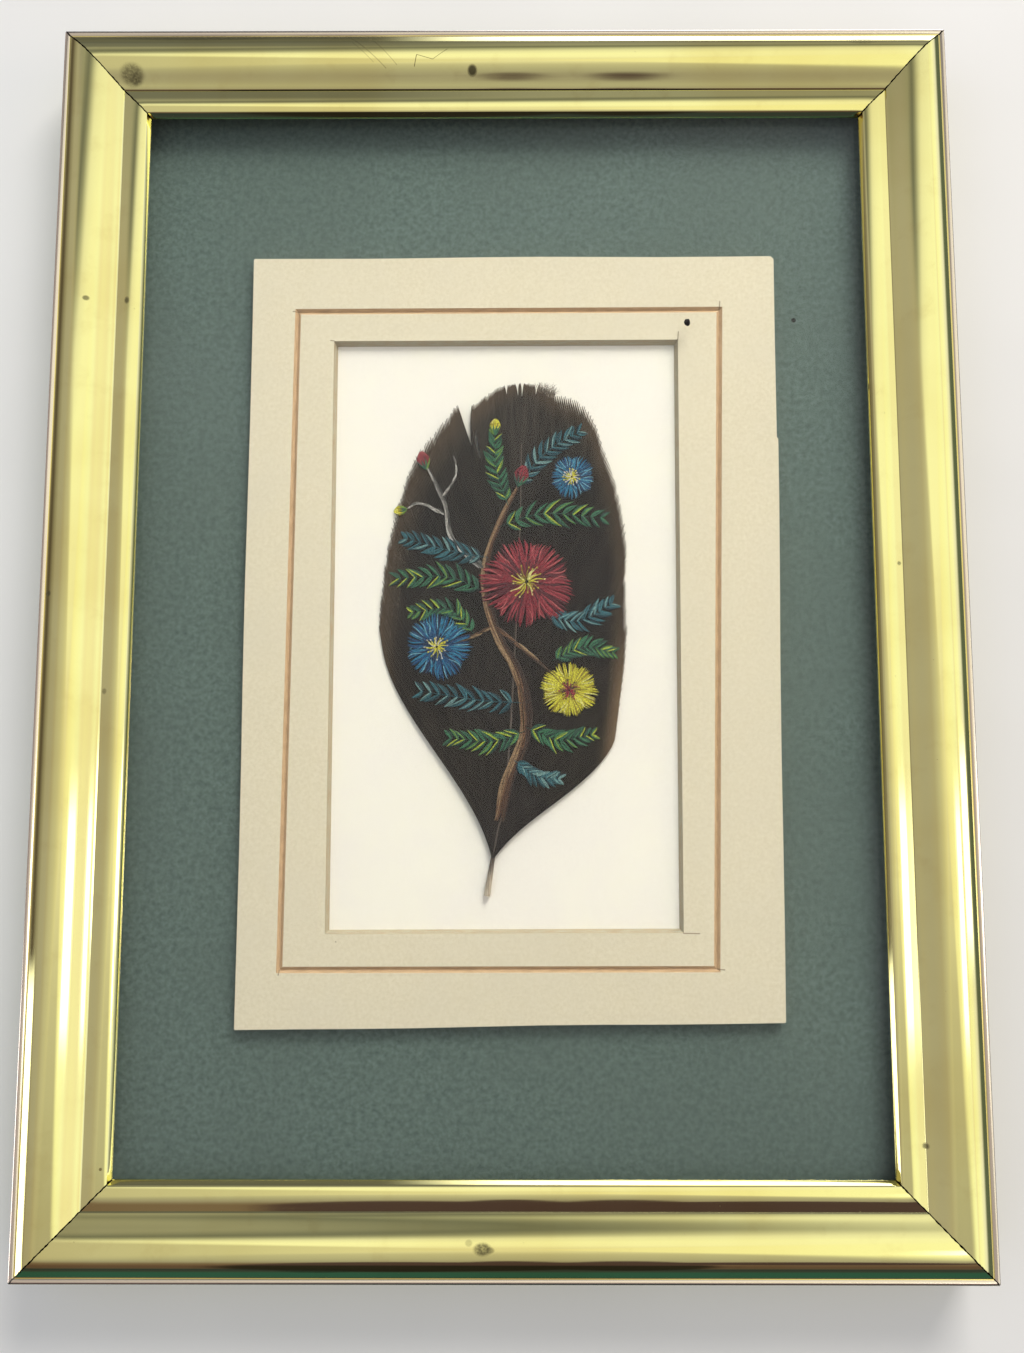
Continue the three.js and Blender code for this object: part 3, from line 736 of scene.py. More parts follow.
def vane_height(x, y):
    """The height of the cambered vane over the back plane."""
    middle = np.interp(y, SHAFT_LINE[:, 1], SHAFT_LINE[:, 0])
    across = np.clip(np.abs(x - middle) / VANE_HALF_SPAN, 0, 1)
    return CARD_TOP + VANE_LIFT + VANE_CAMBER * (1 - across ** 2)


# Splits in the vane: heights, the left and right edges there, and how far off barbs are still pushed
SPLITS = [
    ([28.5, 29.5, 31, 35.4, 39], [-5.17, -5.6, -6.05, -7.25, -8.3], [-5.17, -5.3, -5.38, -5.25, -5.2], 2.2),
    ([37, 39.6], [0.5, -0.05], [0.5, 0.6], 0.7),
    ([36.1, 39.9], [2.45, 1.5], [2.45, 2.4], 0.7),
    ([36, 39.9], [2.83, 2.62], [2.83, 3.3], 0.7),
    ([37, 39.9], [5.2, 4.85], [5.2, 5.65], 0.8),
    ([25.9, 28.8, 29.8, 31.4], [-3.75, -4.62, -4.87, -4.87], [-3.75, -4.22, -4.45, -4.87], 0.9),
]


def part_at_splits(line):
    """Bunches a barb to its own side of each split that it passes."""
    moved = line.copy()
    for heights, left, right, influence in SPLITS:
        y = moved[:, 1]
        left_x = np.interp(y, heights, left)
        right_x = np.interp(y, heights, right)
        middle, gap = (left_x + right_x) / 2, (right_x - left_x) / 2
        inside = (y > heights[0]) & (y < heights[-1])
        if not inside.any():
            continue
        offset = moved[:, 0] - middle
        side = np.sign(offset[inside].mean()) or 1.0
        spread = influence + gap
        distance = np.maximum(offset * side, 0)
        pushed = gap + distance * (1 - gap / spread)
        apply = inside & (distance < spread)
        moved[apply, 0] = (middle + side * pushed)[apply]
    return moved


# Swept lines: barbs, filaments and brush strokes are all thin ribbons along lines


def ribbon_tree():
    """Geometry Nodes that sweep each line of a mesh into a closed, slightly domed ribbon."""
    tree = bpy.data.node_groups.new("sweep_ribbons", "GeometryNodeTree")
    face = tree.interface
    face.new_socket("Lines", in_out="INPUT", socket_type="NodeSocketGeometry")
    face.new_socket("Sides", in_out="INPUT", socket_type="NodeSocketInt")
    face.new_socket("Flatness", in_out="INPUT", socket_type="NodeSocketFloat")
    face.new_socket("Finish", in_out="INPUT", socket_type="NodeSocketMaterial")
    face.new_socket("Ribbons", in_out="OUTPUT", socket_type="NodeSocketGeometry")
    given = add(tree, "NodeGroupInput").outputs
    curve = add(tree, "GeometryNodeMeshToCurve", {"Mesh": given["Lines"]})
    level = add(tree, "GeometryNodeSetCurveNormal", {"Curve": curve}, mode="Z_UP")
    ring = add(tree, "GeometryNodeCurvePrimitiveCircle", {"Resolution": given["Sides"], "Radius": 1.0})
    scale = add(tree, "CombineXYZ", 1.0, given["Flatness"], 1.0)
    section = add(tree, "GeometryNodeTransform", {"Geometry": ring, "Scale": scale})
    width = add(tree, "GeometryNodeInputNamedAttribute", {"Name": "half_width"}, data_type="FLOAT")
    swept = add(tree, "GeometryNodeCurveToMesh", {
        "Curve": level, "Profile Curve": section, "Scale": width, "Fill Caps": True})
    soft = add(tree, "GeometryNodeSetShadeSmooth", {"Geometry": swept})
    real = add(tree, "GeometryNodeRealizeInstances", {"Geometry": soft})
    done = add(tree, "GeometryNodeSetMaterial", {"Geometry": real, "Material": given["Finish"]})
    plug(tree, done, add(tree, "NodeGroupOutput").inputs["Ribbons"])
    return tree


RIBBONS = ribbon_tree()


def sweep(name, lines, material, sides=5, flatness=0.35):
    """A piece made of ribbons. Each line has its points in millimetres, a half width at each, and values
    at each point for every attribute that it carries."""
    points, edges, widths, extra = [], [], [], {}
    for line, half_widths, attributes in lines:
        start = len(points)
        points.extend((line * MM).tolist())
        edges.extend((start + i, start + i + 1) for i in range(len(line) - 1))
        widths.extend(np.asarray(half_widths) * MM)
        for key, values in attributes.items():
            extra.setdefault(key, []).extend(values)
    mesh = bpy.data.meshes.new(name + "_lines")
    mesh.from_pydata(points, edges, [])
    mesh.attributes.new("half_width", "FLOAT", "POINT").data.foreach_set("value", widths)
    for key, values in extra.items():
        flat = np.asarray(values, np.float32)
        kind = "FLOAT_COLOR" if flat.ndim == 2 else "FLOAT"
        made = mesh.attributes.new(key, kind, "POINT")
        made.data.foreach_set("color" if flat.ndim == 2 else "value", flat.ravel())
    carrier = in_scene(name + "_lines", mesh)
    modifier = carrier.modifiers.new("sweep", "NODES")
    modifier.node_group = RIBBONS
    sockets = {s.name: s.identifier for s in RIBBONS.interface.items_tree if s.in_out == "INPUT"}
    modifier[sockets["Sides"]] = sides
    modifier[sockets["Flatness"]] = flatness
    modifier[sockets["Finish"]] = material
    evaluated = carrier.evaluated_get(bpy.context.evaluated_depsgraph_get())
    swept = bpy.data.meshes.new_from_object(evaluated)
    swept.name = name
    carrier.modifiers.remove(modifier)
    bpy.data.objects.remove(carrier)
    return in_scene(name, swept)


BARBS_PER_SIDE = 170
BARB_STEPS = 18
BARB_HALF_WIDTH = 0.19
# How wide a barb is for its spacing: a share of it, and a little more so that no gap shows
BARB_COVER = 0.9
BARB_OVERLAP = 0.03
# Barbs past the lowest few end unevenly, by these shares of their length, and none lies quite level
EVEN_BARBS = 6
TIP_SHIFTS = (-0.012, 0.01)
BARB_TILT = 0.008


def barb_spacing(side, rank):
    """How far apart neighbouring barbs lie at each step along them."""
    step = 1 / (BARBS_PER_SIDE - 1)
    here = barb_line(side, min(rank, 1 - step), BARB_STEPS)
    beside = barb_line(side, min(rank, 1 - step) + step, BARB_STEPS)
    along = np.gradient(here, axis=0)
    along /= np.linalg.norm(along, axis=1, keepdims=True)
    gap = beside - here
    return np.abs(gap[:, 0] * along[:, 1] - gap[:, 1] * along[:, 0])


def vane_barbs(side, rng):
    """All the barbs of one vane, laid like tiles so that each edge covers the next."""
    lines = []
    for i in range(BARBS_PER_SIDE):
        rank = i / (BARBS_PER_SIDE - 1)
        frayed = rng.uniform(*TIP_SHIFTS) if i > EVEN_BARBS else 0.0
        flat = part_at_splits(barb_line(side, rank, BARB_STEPS, frayed))
        reach = np.linspace(0, 1, BARB_STEPS)
        level = vane_height(flat[:, 0], flat[:, 1]) + rng.uniform(-BARB_TILT, BARB_TILT)
        line = np.column_stack([flat, level])
        fitted = barb_spacing(side, rank) * BARB_COVER + BARB_OVERLAP
        widest = np.minimum(BARB_HALF_WIDTH * (1 - 0.25 * reach), fitted)
        width = widest * (1 - 0.75 * smoothstep(reach, 0.93, 1.0))
        tone = [rng.random()] * BARB_STEPS
        lines.append((line, width, {"reach": reach, "tone": tone}))
    return lines


# Frayed stretches: the side, the lowest and highest rank, how many filaments and the longest of them
FRAYED = [(-1, 0.1, 0.66, 620, 1.0), (1, 0.0, 0.5, 330, 0.8), (1, 0.66, 0.86, 24, 0.5)]
# Half widths of a filament at its root and its end
FRAYED_WIDTHS = (0.028, 0.008)
TUFT_WIDTHS = (0.034, 0.012)


def frayed_edges(rng):
    """Filaments past the barb tips, thick down the left side and sparse near the top of the right."""
    lines = []
    for side, low, high, count, longest in FRAYED:
        for _ in range(count):
            rank = rng.uniform(low, high)
            base = barb_line(side, rank, 24)
            start = base[rng.randrange(19, 23)]
            heading = base[-1] - base[-3]
            heading = turned(heading / np.hypot(*heading), rng.uniform(-16, 34) * -side)
            bend = turned(heading, rng.uniform(-22, 22))
            length = rng.uniform(0.35, 1.0) * longest
            t = np.linspace(0, 1, 5)[:, None]
            flat = start + heading * length * t * (1 - t * 0.4) + bend * length * 0.5 * t * t
            level = vane_height(flat[:, 0], flat[:, 1]) + rng.uniform(-0.05, 0.05)
            lines.append((np.column_stack([flat, level]), np.linspace(*FRAYED_WIDTHS, 5), {}))
    return lines


TUFT_FILAMENTS = 130
TUFT_LEFT = 5.4
TUFT_RIGHT = 7.9
# The edge of the vane that the tuft grows from, and the height where it ends
TUFT_EDGE = ([5.5, 7.4, 9], [38.3, 37.4, 36.6])
TUFT_TOP = 39.3


def tuft(rng):
    """The downy tuft beside the square tip."""
    lines = []
    for _ in range(TUFT_FILAMENTS):
        start = np.array([rng.uniform(TUFT_LEFT, TUFT_RIGHT), 0])
        start[1] = np.interp(start[0], *TUFT_EDGE) - rng.uniform(0, 0.7)
        heading = turned(np.array([0.2, 1.0]), rng.uniform(-42, 34))
        bend = turned(heading, rng.uniform(-50, 50))
        length = rng.uniform(0.6, 1.9)
        t = np.linspace(0, 1, 6)[:, None]
        flat = start + heading * length * t * (1 - 0.35 * t) + bend * length * 0.45 * t * t
        flat[:, 1] = np.minimum(flat[:, 1], TUFT_TOP)
        level = vane_height(flat[:, 0], flat[:, 1]) + rng.uniform(-0.04, 0.08)
        lines.append((np.column_stack([flat, level]), np.linspace(*TUFT_WIDTHS, 6), {}))
    return lines


SHAFT_STEPS = 60
# Radii of the shaft at shares of its length, how far it clears the card and how far it stands out of the vane
SHAFT_RADII = ([0, 0.02, 0.075, 0.14, 1], [0.5, 0.49, 0.33, 0.3, 0.1])
SHAFT_GAP = 0.03
SHAFT_PROUD = 0.085


def shaft_lines():
    """The quill and shaft: a tube that thins to the tip. It rests on the card, then runs in the vane."""
    line = smooth_line([QUILL_END] + SHAFT_POINTS, SHAFT_STEPS)
    share = np.linspace(0, 1, SHAFT_STEPS)
    radius = np.interp(share, *SHAFT_RADII)
    on_card = CARD_TOP + SHAFT_GAP + radius
    in_vane = vane_height(line[:, 0], line[:, 1]) + SHAFT_PROUD - radius
    height = on_card + (in_vane - on_card) * smoothstep(share, 0.04, 0.12)
    return [(np.column_stack([line, height]), radius, {})]


feather_rng = random.Random(27)
keep(sweep("feather_vane_left", vane_barbs(-1, feather_rng), VANE, 4, 0.3), "feather_vane", "feather")
keep(sweep("feather_vane_right", vane_barbs(1, feather_rng), VANE, 4, 0.3), "feather_vane", "feather")
keep(sweep("feather_frayed_edges", frayed_edges(feather_rng), DOWN, 3, 1.0), "feather_vane", "feather")
keep(sweep("feather_tuft", tuft(feather_rng), DOWN, 3, 1.0), "feather_vane", "feather")
keep(sweep("feather_shaft", shaft_lines(), QUILL, 14, 1.0), "feather_vane", "feather")

# Painted spray of flowers: single strokes of acrylic on the vane, dark coats first. Sizes in millimetres

BROWNS = ["#3c2a1e", "#5b3f2b", "#7d5b3f", "#a98c68"]
GREYS = ["#4c4a47", "#7d7a74", "#bdb8b0", "#dedad2"]
CRIMSONS = ["#5c1c26", "#8a2733", "#ab3d47", "#c96a68"]
YELLOWS = ["#a8962a", "#dcd433", "#ece64a", "#f6f39a"]
BLUES = ["#142f52", "#1d5686", "#2d89af", "#7dbdd2"]
GREENS = ["#1e3d33", "#2d5a48", "#3e7d58", "#78a03e", "#c6d43c"]
TEALS = ["#18323c", "#245059", "#3a7580", "#7fa9a6"]
PALE = "#e7e4da"

PAINT_LIFT = 0.075
COAT_RISE = 0.013
STROKE_STEPS = 9


def brush(places, half_width, colour, coat, fade=3):
    """One stroke through a few places: the brush lands, swells and lifts off."""
    flat = smooth_line(places, STROKE_STEPS)
    share = np.linspace(0, 1, STROKE_STEPS)
    width = half_width * np.minimum(1, 0.4 + 3 * share) * (1 - 0.85 * share ** fade)
    level = vane_height(flat[:, 0], flat[:, 1]) + PAINT_LIFT + COAT_RISE * coat
    return np.column_stack([flat, level]), width, {"tint": [linear(colour)] * STROKE_STEPS}


def petal(rng, heart, heading, length, spread, colours, coat):
    """A petal: strokes fanned out from the heart of the flower, in three coats."""
    heart, made = np.array(heart), []
    coats = [(11, 0.1, 1.0, 0.3, colours[0:2]), (9, 0.28, 0.97, 0.19, colours[1:3]),
             (6, 0.5, 0.98, 0.1, colours[2:4])]
    for level, (count, start, end, half_width, tints) in enumerate(coats):
        for u in np.linspace(-1, 1, count):
            u += rng.uniform(-0.08, 0.08)
            reach = length * (1 - 0.16 * u * u - 0.07 * math.exp(-(u * 5) ** 2)) * rng.uniform(0.95, 1.02)
            ends = [(start, 0.75), ((start + end) * 0.55, 1.12), (end, 1.0)]
            places = [heart + turned(heading, u * spread * wide) * reach * out for out, wide in ends]
            width = half_width * length / 8 * rng.uniform(0.85, 1.15) + 0.03
            made.append(brush(places, width, rng.choice(tints), coat + level, 5))
    return made


def blossom(rng, heart, length, petals, turn, colours, eye, coat):
    """An open flower with a tuft of stamens."""
    made = []
    spread = 180 / petals * 0.98
    for k in range(petals):
        heading = turned(np.array([0.0, 1.0]), turn + 360 / petals * k + rng.uniform(-5, 5))
        reach = length * rng.uniform(0.9, 1.05)
        made += petal(rng, heart, heading, reach, spread, colours, coat + (k % 2) * 2)
    heart = np.array(heart)
    for k in range(22):
        way = turned(np.array([0.0, 1.0]), k * 360 / 22 + rng.uniform(-9, 9))
        far = length * rng.uniform(0.16, 0.34)
        places = [heart + way * far * 0.15, heart + turned(way, 8) * far * 0.6, heart + way * far]
        made.append(brush(places, 0.1, rng.choice(eye), coat + 6, 6))
        tip = heart + way * far
        made.append(brush([tip, tip + way * 0.12, tip + way * 0.3], 0.14, rng.choice(eye[1:]), coat + 7, 2))
    return made


def bud(rng, base, heading, length, colours, coat):
    """A closed bud in its green cup."""
    base, heading, made = np.array(base), np.array(heading) / np.hypot(*heading), []
    for level, (count, half_width, tints) in enumerate([(7, 0.26, colours[0:2]), (6, 0.15, colours[1:4])]):
        for u in np.linspace(-1, 1, count):
            side = turned(heading, 90) * u * length * 0.3
            places = [base + side * 0.3, base + heading * length * 0.5 + side,
                      base + heading * length + side * 0.25]
            made.append(brush(places, half_width, rng.choice(tints), coat + level, 4))
    for u in (-1, -0.4, 0.3, 1):
        side = turned(heading, 90) * u * length * 0.3
        places = [base - heading * length * 0.12, base + heading * length * 0.2 + side * 0.8,
                  base + heading * length * 0.5 + side * 1.25]
        made.append(brush(places, 0.17, rng.choice(GREENS[1:4]), coat + 3))
    return made


def frond(rng, path, leaf, colours, coat, pairs=11):
    """A leafy shoot: a fine stalk with leaflets in pairs, each a dark dab and a lighter edge."""
    line = smooth_line(path, 60)
    made = [brush(path, 0.13, rng.choice(colours[0:2]), coat)]
    for k in range(pairs):
        share = 0.1 + 0.9 * k / (pairs - 1)
        root = along_line(line, share)
        ahead = along_line(line, min(share + 0.03, 1)) - along_line(line, share - 0.03)
        ahead = ahead / np.hypot(*ahead)
        size = leaf * (0.55 + 0.6 * math.sin(math.pi * min(share * 0.85 + 0.1, 1))) * rng.uniform(0.85, 1.15)
        for side in (-1, 1):
            out = turned(ahead, side * rng.uniform(44, 66))
            tip = root + (out * 0.8 + ahead * 0.35) * size
            for depth in range(3):
                slide = ahead * (0.34 * depth - 0.3) * rng.uniform(0.7, 1.2)
                middle = root + out * size * 0.52 + slide + ahead * 0.1 * size
                if rng.random() < 0.72:
                    shade = min(depth + rng.choice([0, 0, 1]), 2)
                else:
                    shade = min(depth + 2, len(colours) - 1)
                made.append(brush([root + slide * 0.4, middle, tip], 0.2 - 0.045 * depth, colours[shade],
                                  coat + 1 + depth))
    return made


def woody(rng, path, start_width, end_width, colours, coat, count):
    """A woody stem: long broken strokes side by side, lit from one side."""
    line = smooth_line(path, 120)
    made = []
    for k in range(count):
        across = rng.uniform(-1, 1)
        low = rng.uniform(-0.1, 0.85)
        high = min(low + rng.uniform(0.12, 0.3), 1)
        places = []
        for share in np.linspace(max(low, 0), high, 4):
            here = along_line(line, share)
            ahead = along_line(line, min(share + 0.02, 1)) - along_line(line, max(share - 0.02, 0))
            sideways = turned(ahead / np.hypot(*ahead), 90)
            half = start_width + (end_width - start_width) * share
            places.append(here + sideways * half * (across + rng.uniform(-0.15, 0.15)))
        light = (across + 1) / 2 + rng.uniform(-0.25, 0.25)
        shade = int(np.clip(light * len(colours), 0, len(colours) - 1))
        made.append(brush(places, rng.uniform(0.09, 0.2), colours[shade], coat + k * 3 / count, 4))
    return made


def painted_spray():
    """The whole design, from the stems up to the flowers."""
    rng = random.Random(41)
    stem = [(-0.7, -31), (0.8, -24.5), (3.4, -17), (2.4, -8.5), (-1.6, -0.5), (-3.2, 8), (-0.8, 16),
            (2.2, 22)]
    made = woody(rng, stem, 1.15, 0.3, BROWNS, 0, 120)
    made += woody(rng, [(-3.1, 8.5), (-8.2, 13.6), (-9.6, 19.5), (-12.4, 25.4)], 0.5, 0.14, GREYS, 0, 42)
    made += woody(rng, [(-9.3, 17.5), (-13.4, 19.4), (-15.6, 18.6)], 0.26, 0.1, GREYS, 1, 16)
    made += woody(rng, [(-9.8, 20.4), (-7.6, 24.2), (-8.2, 27.4)], 0.24, 0.1, GREYS, 1, 16)
    made += woody(rng, [(-1.2, -0.8), (4, -5), (9.5, -9.4)], 0.42, 0.2, BROWNS, 1, 26)
    made += woody(rng, [(-1.8, -0.4), (-6, -2.4), (-9.8, -3.2)], 0.4, 0.2, BROWNS, 1, 22)
    fronds = [
        ([(-3, 5), (-9, 7.4), (-16.6, 7.2)], 2.7, GREENS),
        ([(-2.6, 10.5), (-8.4, 11.6), (-15.6, 13.6)], 2.5, TEALS),
        ([(2.6, -12.6), (-4, -12.2), (-12.8, -10.8)], 2.7, TEALS),
        ([(3.3, -17), (-1.5, -18.6), (-8.2, -18.2)], 2.4, GREENS),
        ([(3.4, -16.4), (8.4, -18.4), (13.6, -17.6)], 2.3, GREENS),
        ([(1.6, -21.6), (5, -24), (8.4, -24.4)], 1.9, TEALS),
        ([(-1, 15.4), (6, 17.6), (15.4, 17)], 2.7, GREENS),
        ([(2, 21.8), (6.4, 27.4), (11.8, 31)], 2.4, TEALS),
        ([(6.5, 1), (12, 0.4), (16.8, 3)], 2.4, TEALS),
        ([(7.5, -6), (12.6, -3.8), (17, -4.6)], 2.1, GREENS),
        ([(0.6, 19), (-1.2, 24.4), (-1.6, 30.6)], 2.1, GREENS),
        ([(-4.5, -2), (-8.6, 2.2), (-14.4, 1.8)], 2.1, GREENS),
    ]
    for path, leaf, colours in fronds:
        made += frond(rng, path, leaf, colours, 4)
    made += blossom(rng, (3.6, 6.6), 8.1, 5, 20, CRIMSONS, YELLOWS, 9)
    made += blossom(rng, (-10.6, -3.8), 5.6, 5, -12, BLUES, [*YELLOWS[1:3], PALE], 9)
    made += blossom(rng, (10.2, -10.6), 4.7, 6, 8, YELLOWS, [CRIMSONS[1], BROWNS[1], CRIMSONS[2]], 9)
    made += blossom(rng, (10.8, 23.6), 3.9, 5, 30, BLUES, [*YELLOWS[1:3], PALE], 9)
    made += bud(rng, (-12.6, 25.2), (-0.3, 1), 2.8, CRIMSONS, 9)
    made += bud(rng, (2.3, 22.4), (0.3, 1), 3.2, CRIMSONS, 9)
    made += bud(rng, (-15.8, 18.4), (-1, -0.2), 1.9, YELLOWS, 9)
    made += bud(rng, (-1.6, 31), (0.1, 1), 2.2, YELLOWS, 9)
    return made


keep(sweep("painted_flower_spray", painted_spray(), PAINT, 6, 0.16), "feather_vane", "feather")

# A crumb of dirt that lies on the glass

CRUMB_AT = (29.4, 48.45)
CRUMB_RADIUS = 0.5
# How far down it is flat, as a share of the radius, and its lumps: how deep, and how many to the metre
CRUMB_FLAT = 0.55
CRUMB_LUMPS = [(0.28, 2600), (0.12, 7000)]


def build_crumb():
    """A lumpy grain, flat underneath where it rests."""
    shape = bmesh.new()
    bmesh.ops.create_icosphere(shape, subdivisions=4, radius=CRUMB_RADIUS * MM)
    rest_z = (PANE_HIGH[2] - GLASS_GAP) * MM
    flat_at = CRUMB_FLAT * CRUMB_RADIUS * MM
    for vertex in shape.verts:
        swell = 1
        for depth, scale in CRUMB_LUMPS:
            swell += depth * mathutils.noise.noise(vertex.co * scale)
        place = vertex.co * swell
        place.z = max(place.z, -flat_at) + flat_at + rest_z
        vertex.co = place + Vector((CRUMB_AT[0] * MM, CRUMB_AT[1] * MM, 0))
    mesh = bpy.data.meshes.new("dirt_crumb")
    shape.to_mesh(mesh)
    shape.free()
    mesh.shade_smooth()
    mesh.materials.append(CRUMB)
    return in_scene("dirt_crumb", mesh)


keep(build_crumb(), "picture_glass")

# Floor, light and camera

FLOOR_HALF = 900
FLOOR_Z = -0.02
CAMERA_PLACE_MM = (1.72, -24.18, 165.47)
CAMERA_TURN_DEG = (5.651, 0.173, 0.0)
LENS_MM = 27.03
# Soft boxes: place and size in metres, watts and colour
LIGHTS = [
    ("window_light", (0.3, 0.78, 0.54), (0.5, 0.35), 6.7, "#fff9f0"),
    ("warm_fill", (0.7, -0.05, 0.3), (0.3, 0.3), 0.7, "#ffd2a8"),
    ("side_fill", (-0.6, 0.1, 0.5), (0.5, 0.5), 0.4, "#dfe8ff"),
]


def build_floor():
    """The board that the frame lies on, a hair below it."""
    corners = [(-1, -1), (1, -1), (1, 1), (-1, 1)]
    points = [(x * FLOOR_HALF, y * FLOOR_HALF, FLOOR_Z) for x, y in corners]
    piece = mesh_object("studio_floor", points, [(0, 1, 2, 3)], FLOOR)
    piece.visible_glossy = False


def area_light(name, place, size, watts, colour):
    """A soft box aimed at the middle of the frame."""
    lamp = bpy.data.lights.new(name, "AREA")
    lamp.shape = "RECTANGLE"
    lamp.size, lamp.size_y = size
    lamp.energy = watts
    lamp.color = linear(colour)[:3]
    made = in_scene(name, lamp)
    made.location = place
    made.rotation_euler = Vector(place).to_track_quat("Z", "Y").to_euler()
    made.visible_glossy = False


# The room that the brass mirrors: angles in degrees from the horizon, then how bright. The first list
# runs from the picture's top over the ceiling to its bottom, the second from its right to its left.
# Negative angles lie below the horizon, where a pale table is mirrored by the outer walls
ROOM_TOP_TO_BOTTOM = [
    (-180, (0.03, 0.1, 0.12)), (-168, (0.03, 0.1, 0.12)), (-163, (0.62, 0.6, 0.56)),
    (-90, (0.5, 0.48, 0.45)), (-29, (0.62, 0.6, 0.56)), (-24, (0.12, 0.12, 0.13)),
    (-5, (0.12, 0.12, 0.13)), (8, (0.15, 0.15, 0.17)), (28, (0.28, 0.28, 0.36)),
    (42, (0.34, 0.34, 0.38)), (49, (0.17, 0.18, 0.21)), (53, (0.32, 0.33, 0.36)),
    (61, (0.9, 0.91, 0.95)), (70, (1.05, 1.07, 1.05)), (78, (1.04, 1.05, 1.04)),
    (86, (0.89, 0.86, 0.85)), (94, (0.84, 0.82, 0.82)), (102, (0.6, 0.58, 0.6)),
    (110, (0.5, 0.49, 0.52)), (119, (0.38, 0.36, 0.42)), (128, (0.2, 0.145, 0.15)),
    (138, (0.13, 0.08, 0.09)), (151, (0.11, 0.08, 0.09)), (157, (0.03, 0.045, 0.07)),
    (165, (0.04, 0.05, 0.07)), (172, (0.03, 0.1, 0.12)), (180, (0.03, 0.1, 0.12)),
]
ROOM_RIGHT_TO_LEFT = [
    (-180, (0.1, 0.08, 0.08)), (-174, (0.14, 0.12, 0.12)), (-168, (0.66, 0.64, 0.68)),
    (-120, (0.6, 0.58, 0.56)), (-60, (0.5, 0.48, 0.45)), (-17, (0.62, 0.6, 0.56)),
    (-12, (0.1, 0.13, 0.14)), (5, (0.12, 0.15, 0.16)), (12, (0.9, 0.92, 1.2)),
    (27, (1.08, 1.12, 1.15)), (45, (1.06, 1.1, 1.0)), (50, (0.97, 0.92, 0.92)),
    (55, (1.05, 1.1, 1.1)), (68, (1.07, 1.1, 1.0)), (78, (1.04, 1.03, 0.9)),
    (88, (0.92, 0.88, 0.8)), (97, (0.77, 0.74, 0.7)), (104, (0.65, 0.63, 0.62)),
    (112, (0.56, 0.54, 0.57)), (122, (0.46, 0.43, 0.46)), (133, (0.43, 0.41, 0.48)),
    (155, (0.41, 0.39, 0.45)), (168, (0.3, 0.28, 0.3)), (180, (0.1, 0.08, 0.08)),
]
# A dark shape overhead as ovals: the middle and half width sideways, then the middle and half height
# in degrees. It is brown up to the first of its turns and black from the second
DARK_PATCHES = [
    (-0.1, 0.15, 144, 24), (-0.003, 0.065, 139.5, 22.8), (0.094, 0.075, 139.5, 22.8), (0.24, 0.13, 126, 6),
]
DARK_TURNS = (131, 138)
DARK_BROWN = (0.075, 0.047, 0.072, 1)
DARK_BLACK = (0.02, 0.018, 0.02, 1)
DUSK = (0.05, 0.06, 0.09, 1)
DUSK_SHARE = 0.5
# How far the bands overhead lean to the sides, in degrees
BAND_LEAN = 26
SKY_LEVEL = 0.5
# Bright enough that even the yellow of the brass turns white
OVEREXPOSED = (3.3, 3.35, 3.9, 1)


def angle(tree, rise, run):
    """The angle over the horizon, in degrees."""
    return product(tree, add(tree, "Math", rise, run, operation="ARCTAN2"), 180 / math.pi)


def ramp(tree, value, stops):
    """Colours by angle, in degrees from -180 to 180."""
    turn = add(tree, "Math", value, 1 / 360, 0.5, operation="MULTIPLY_ADD")
    made = add(tree, "ValToRGB", turn)
    elements = made.color_ramp.elements
    while len(elements) < len(stops):
        elements.new(1.0)
    for element, (degrees, colour) in zip(elements, stops):
        element.position = degrees / 360 + 0.5
        element.color = (*colour, 1.0)
    return made


def over_the_top(tree, x, y, z):
    """What the top and bottom rails mirror: bands that lean at the sides, a glare low at the top right,
    dusk at the top left and the dark shape overhead."""
    over_top = angle(tree, z, y)
    lean = product(tree, x, BAND_LEAN, past(tree, (over_top, 84, 62), (over_top, 30, 46)))
    colour = ramp(tree, add(tree, "Math", over_top, lean, operation="ADD"), ROOM_TOP_TO_BOTTOM)
    glare = past(tree, (over_top, 14, 10), (x, -0.12, 0.05), (y, 0, 0.1))
    colour = add(tree, "Mix", glare, colour, OVEREXPOSED, **COLOUR)
    dusk = past(tree, (over_top, 50, 40), (over_top, 5, 15), (x, 0.05, -0.15), (y, 0, 0.1))
    colour = add(tree, "Mix", product(tree, dusk, DUSK_SHARE), colour, DUSK, **COLOUR)
    shade = add(tree, "Mix", past(tree, (over_top, *DARK_TURNS)), DARK_BROWN, DARK_BLACK, **COLOUR)
    for middle, half_width, height, half_height in DARK_PATCHES:
        aside = add(tree, "Math", add(tree, "Math", x, middle, operation="SUBTRACT"), half_width,
                    operation="DIVIDE")
        above = add(tree, "Math", add(tree, "Math", over_top, height, operation="SUBTRACT"), half_height,
                    operation="DIVIDE")
        away = add(tree, "Math", product(tree, aside, aside), product(tree, above, above), operation="ADD")
        patch = add(tree, "MapRange", away, 0.8, 1.2, 0.98, 0, **SOFT)
        colour = add(tree, "Mix", patch, colour, shade, **COLOUR)
    return colour


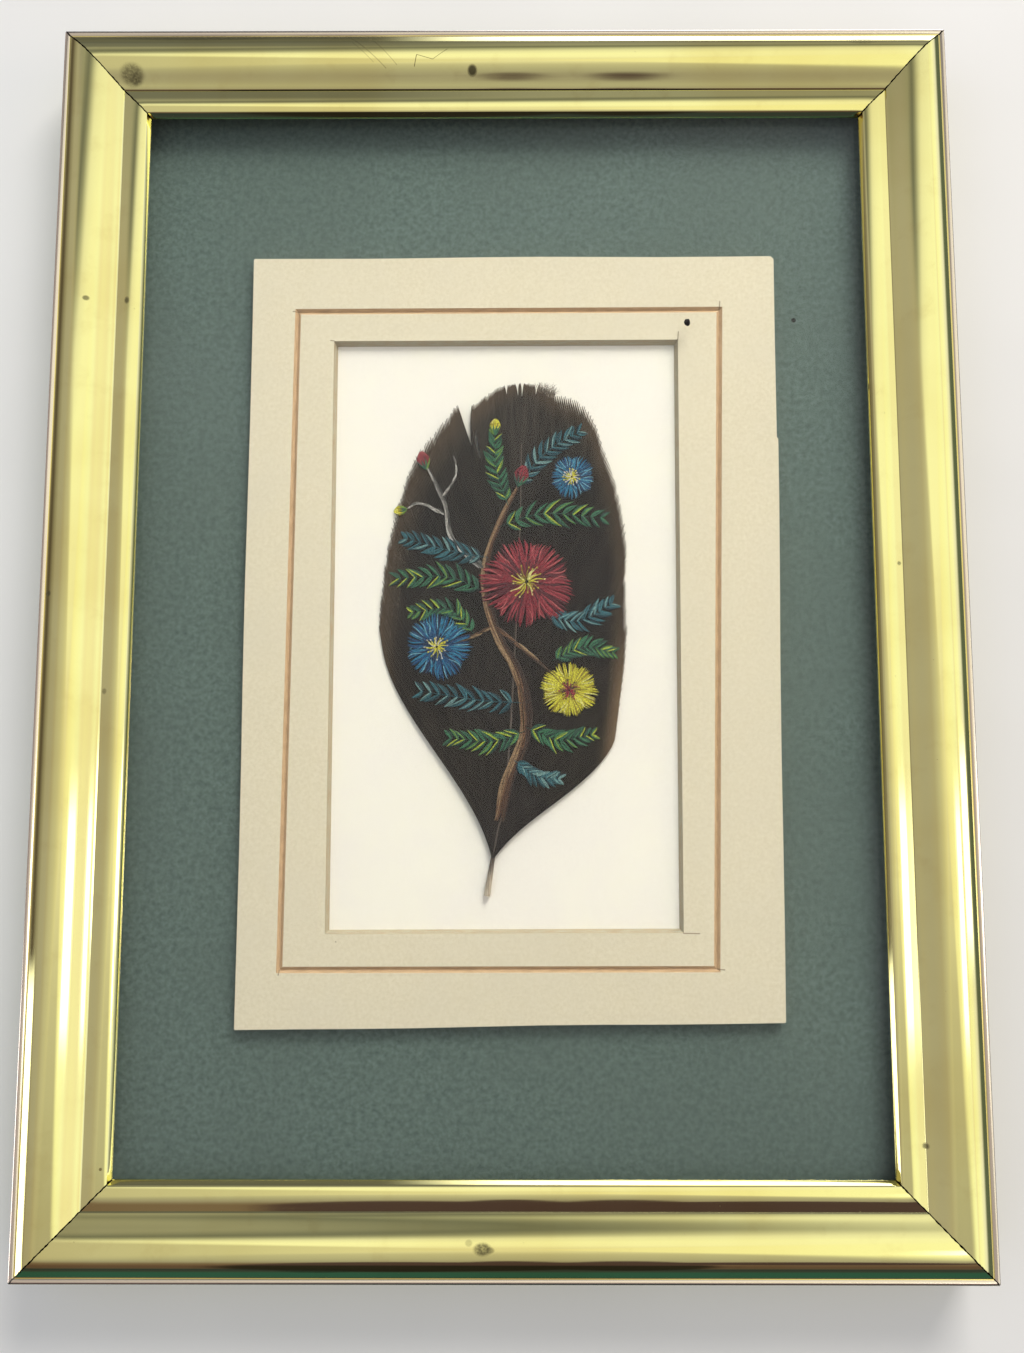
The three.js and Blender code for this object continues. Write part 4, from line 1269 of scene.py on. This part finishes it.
def over_the_right(tree, x, y, z):
    """What the side rails mirror: bands, two windows at the right and one low at the left."""
    over_right = angle(tree, z, x)
    colour = ramp(tree, over_right, ROOM_RIGHT_TO_LEFT)
    low = past(tree, (over_right, 9, 13), (over_right, 46, 40), (y, 0.05, -0.01), (y, -0.17, -0.11))
    high = past(tree, (over_right, 51, 54), (over_right, 72, 66), (y, 0.01, -0.06), (y, -0.25, -0.19))
    windows = add(tree, "Math", low, high, operation="ADD")
    colour = add(tree, "Mix", windows, colour, OVEREXPOSED, **COLOUR)
    elevation = angle(tree, z, add(tree, "Math", x, operation="ABSOLUTE"))
    from_horizon = add(tree, "Math", elevation, operation="ABSOLUTE")
    on_left = add(tree, "Math", x, 0, operation="LESS_THAN")
    at_left = product(tree, on_left, past(tree, (from_horizon, 15, 11), (y, -0.15, -0.2)))
    return add(tree, "Mix", at_left, colour, OVEREXPOSED, **COLOUR)


def room_light():
    """Soft pale light all round. What the brass mirrors is a room: bright windows, a dim ceiling and a
    dark shape overhead. Seen directly it is a plain pale backdrop."""
    world = bpy.data.worlds.new("pale_room")
    bpy.context.scene.world = world
    world.use_nodes = True
    tree = world.node_tree
    tree.nodes.clear()
    x, y, z = add(tree, "SeparateXYZ", add(tree, "TexCoord").outputs["Generated"]).outputs
    xx, yy = product(tree, x, x), product(tree, y, y)
    both = add(tree, "Math", add(tree, "Math", xx, yy, operation="ADD"), 1e-4, operation="ADD")
    sideways = add(tree, "Math", xx, both, operation="DIVIDE")
    room = add(tree, "Mix", past(tree, (sideways, 0.35, 0.65)), over_the_top(tree, x, y, z),
               over_the_right(tree, x, y, z), **COLOUR)
    rays = add(tree, "LightPath").outputs
    sky = (*[SKY_LEVEL * part for part in linear("#f7faff")[:3]], 1.0)
    direct = add(tree, "Math", rays["Diffuse Depth"], 0.5, operation="LESS_THAN")
    colour = add(tree, "Mix", product(tree, rays["Is Glossy Ray"], direct), sky, room, **COLOUR)
    colour = laid_over(tree, colour, rays["Is Camera Ray"], "#f2f2f0")
    glow = add(tree, "Background", {"Color": colour, "Strength": 1.0})
    plug(tree, glow, add(tree, "OutputWorld").inputs["Surface"])


def build_camera():
    lens = bpy.data.cameras.new("camera")
    lens.lens = LENS_MM
    lens.sensor_width = 36
    lens.clip_start = 0.01
    made = in_scene("camera", lens)
    made.location = [c * MM for c in CAMERA_PLACE_MM]
    made.rotation_euler = Euler([math.radians(a) for a in CAMERA_TURN_DEG])
    bpy.context.scene.camera = made


build_floor()
room_light()
for light in LIGHTS:
    area_light(*light)
build_camera()
bpy.context.scene.view_settings.view_transform = "Standard"

bpy.context.view_layer.update()
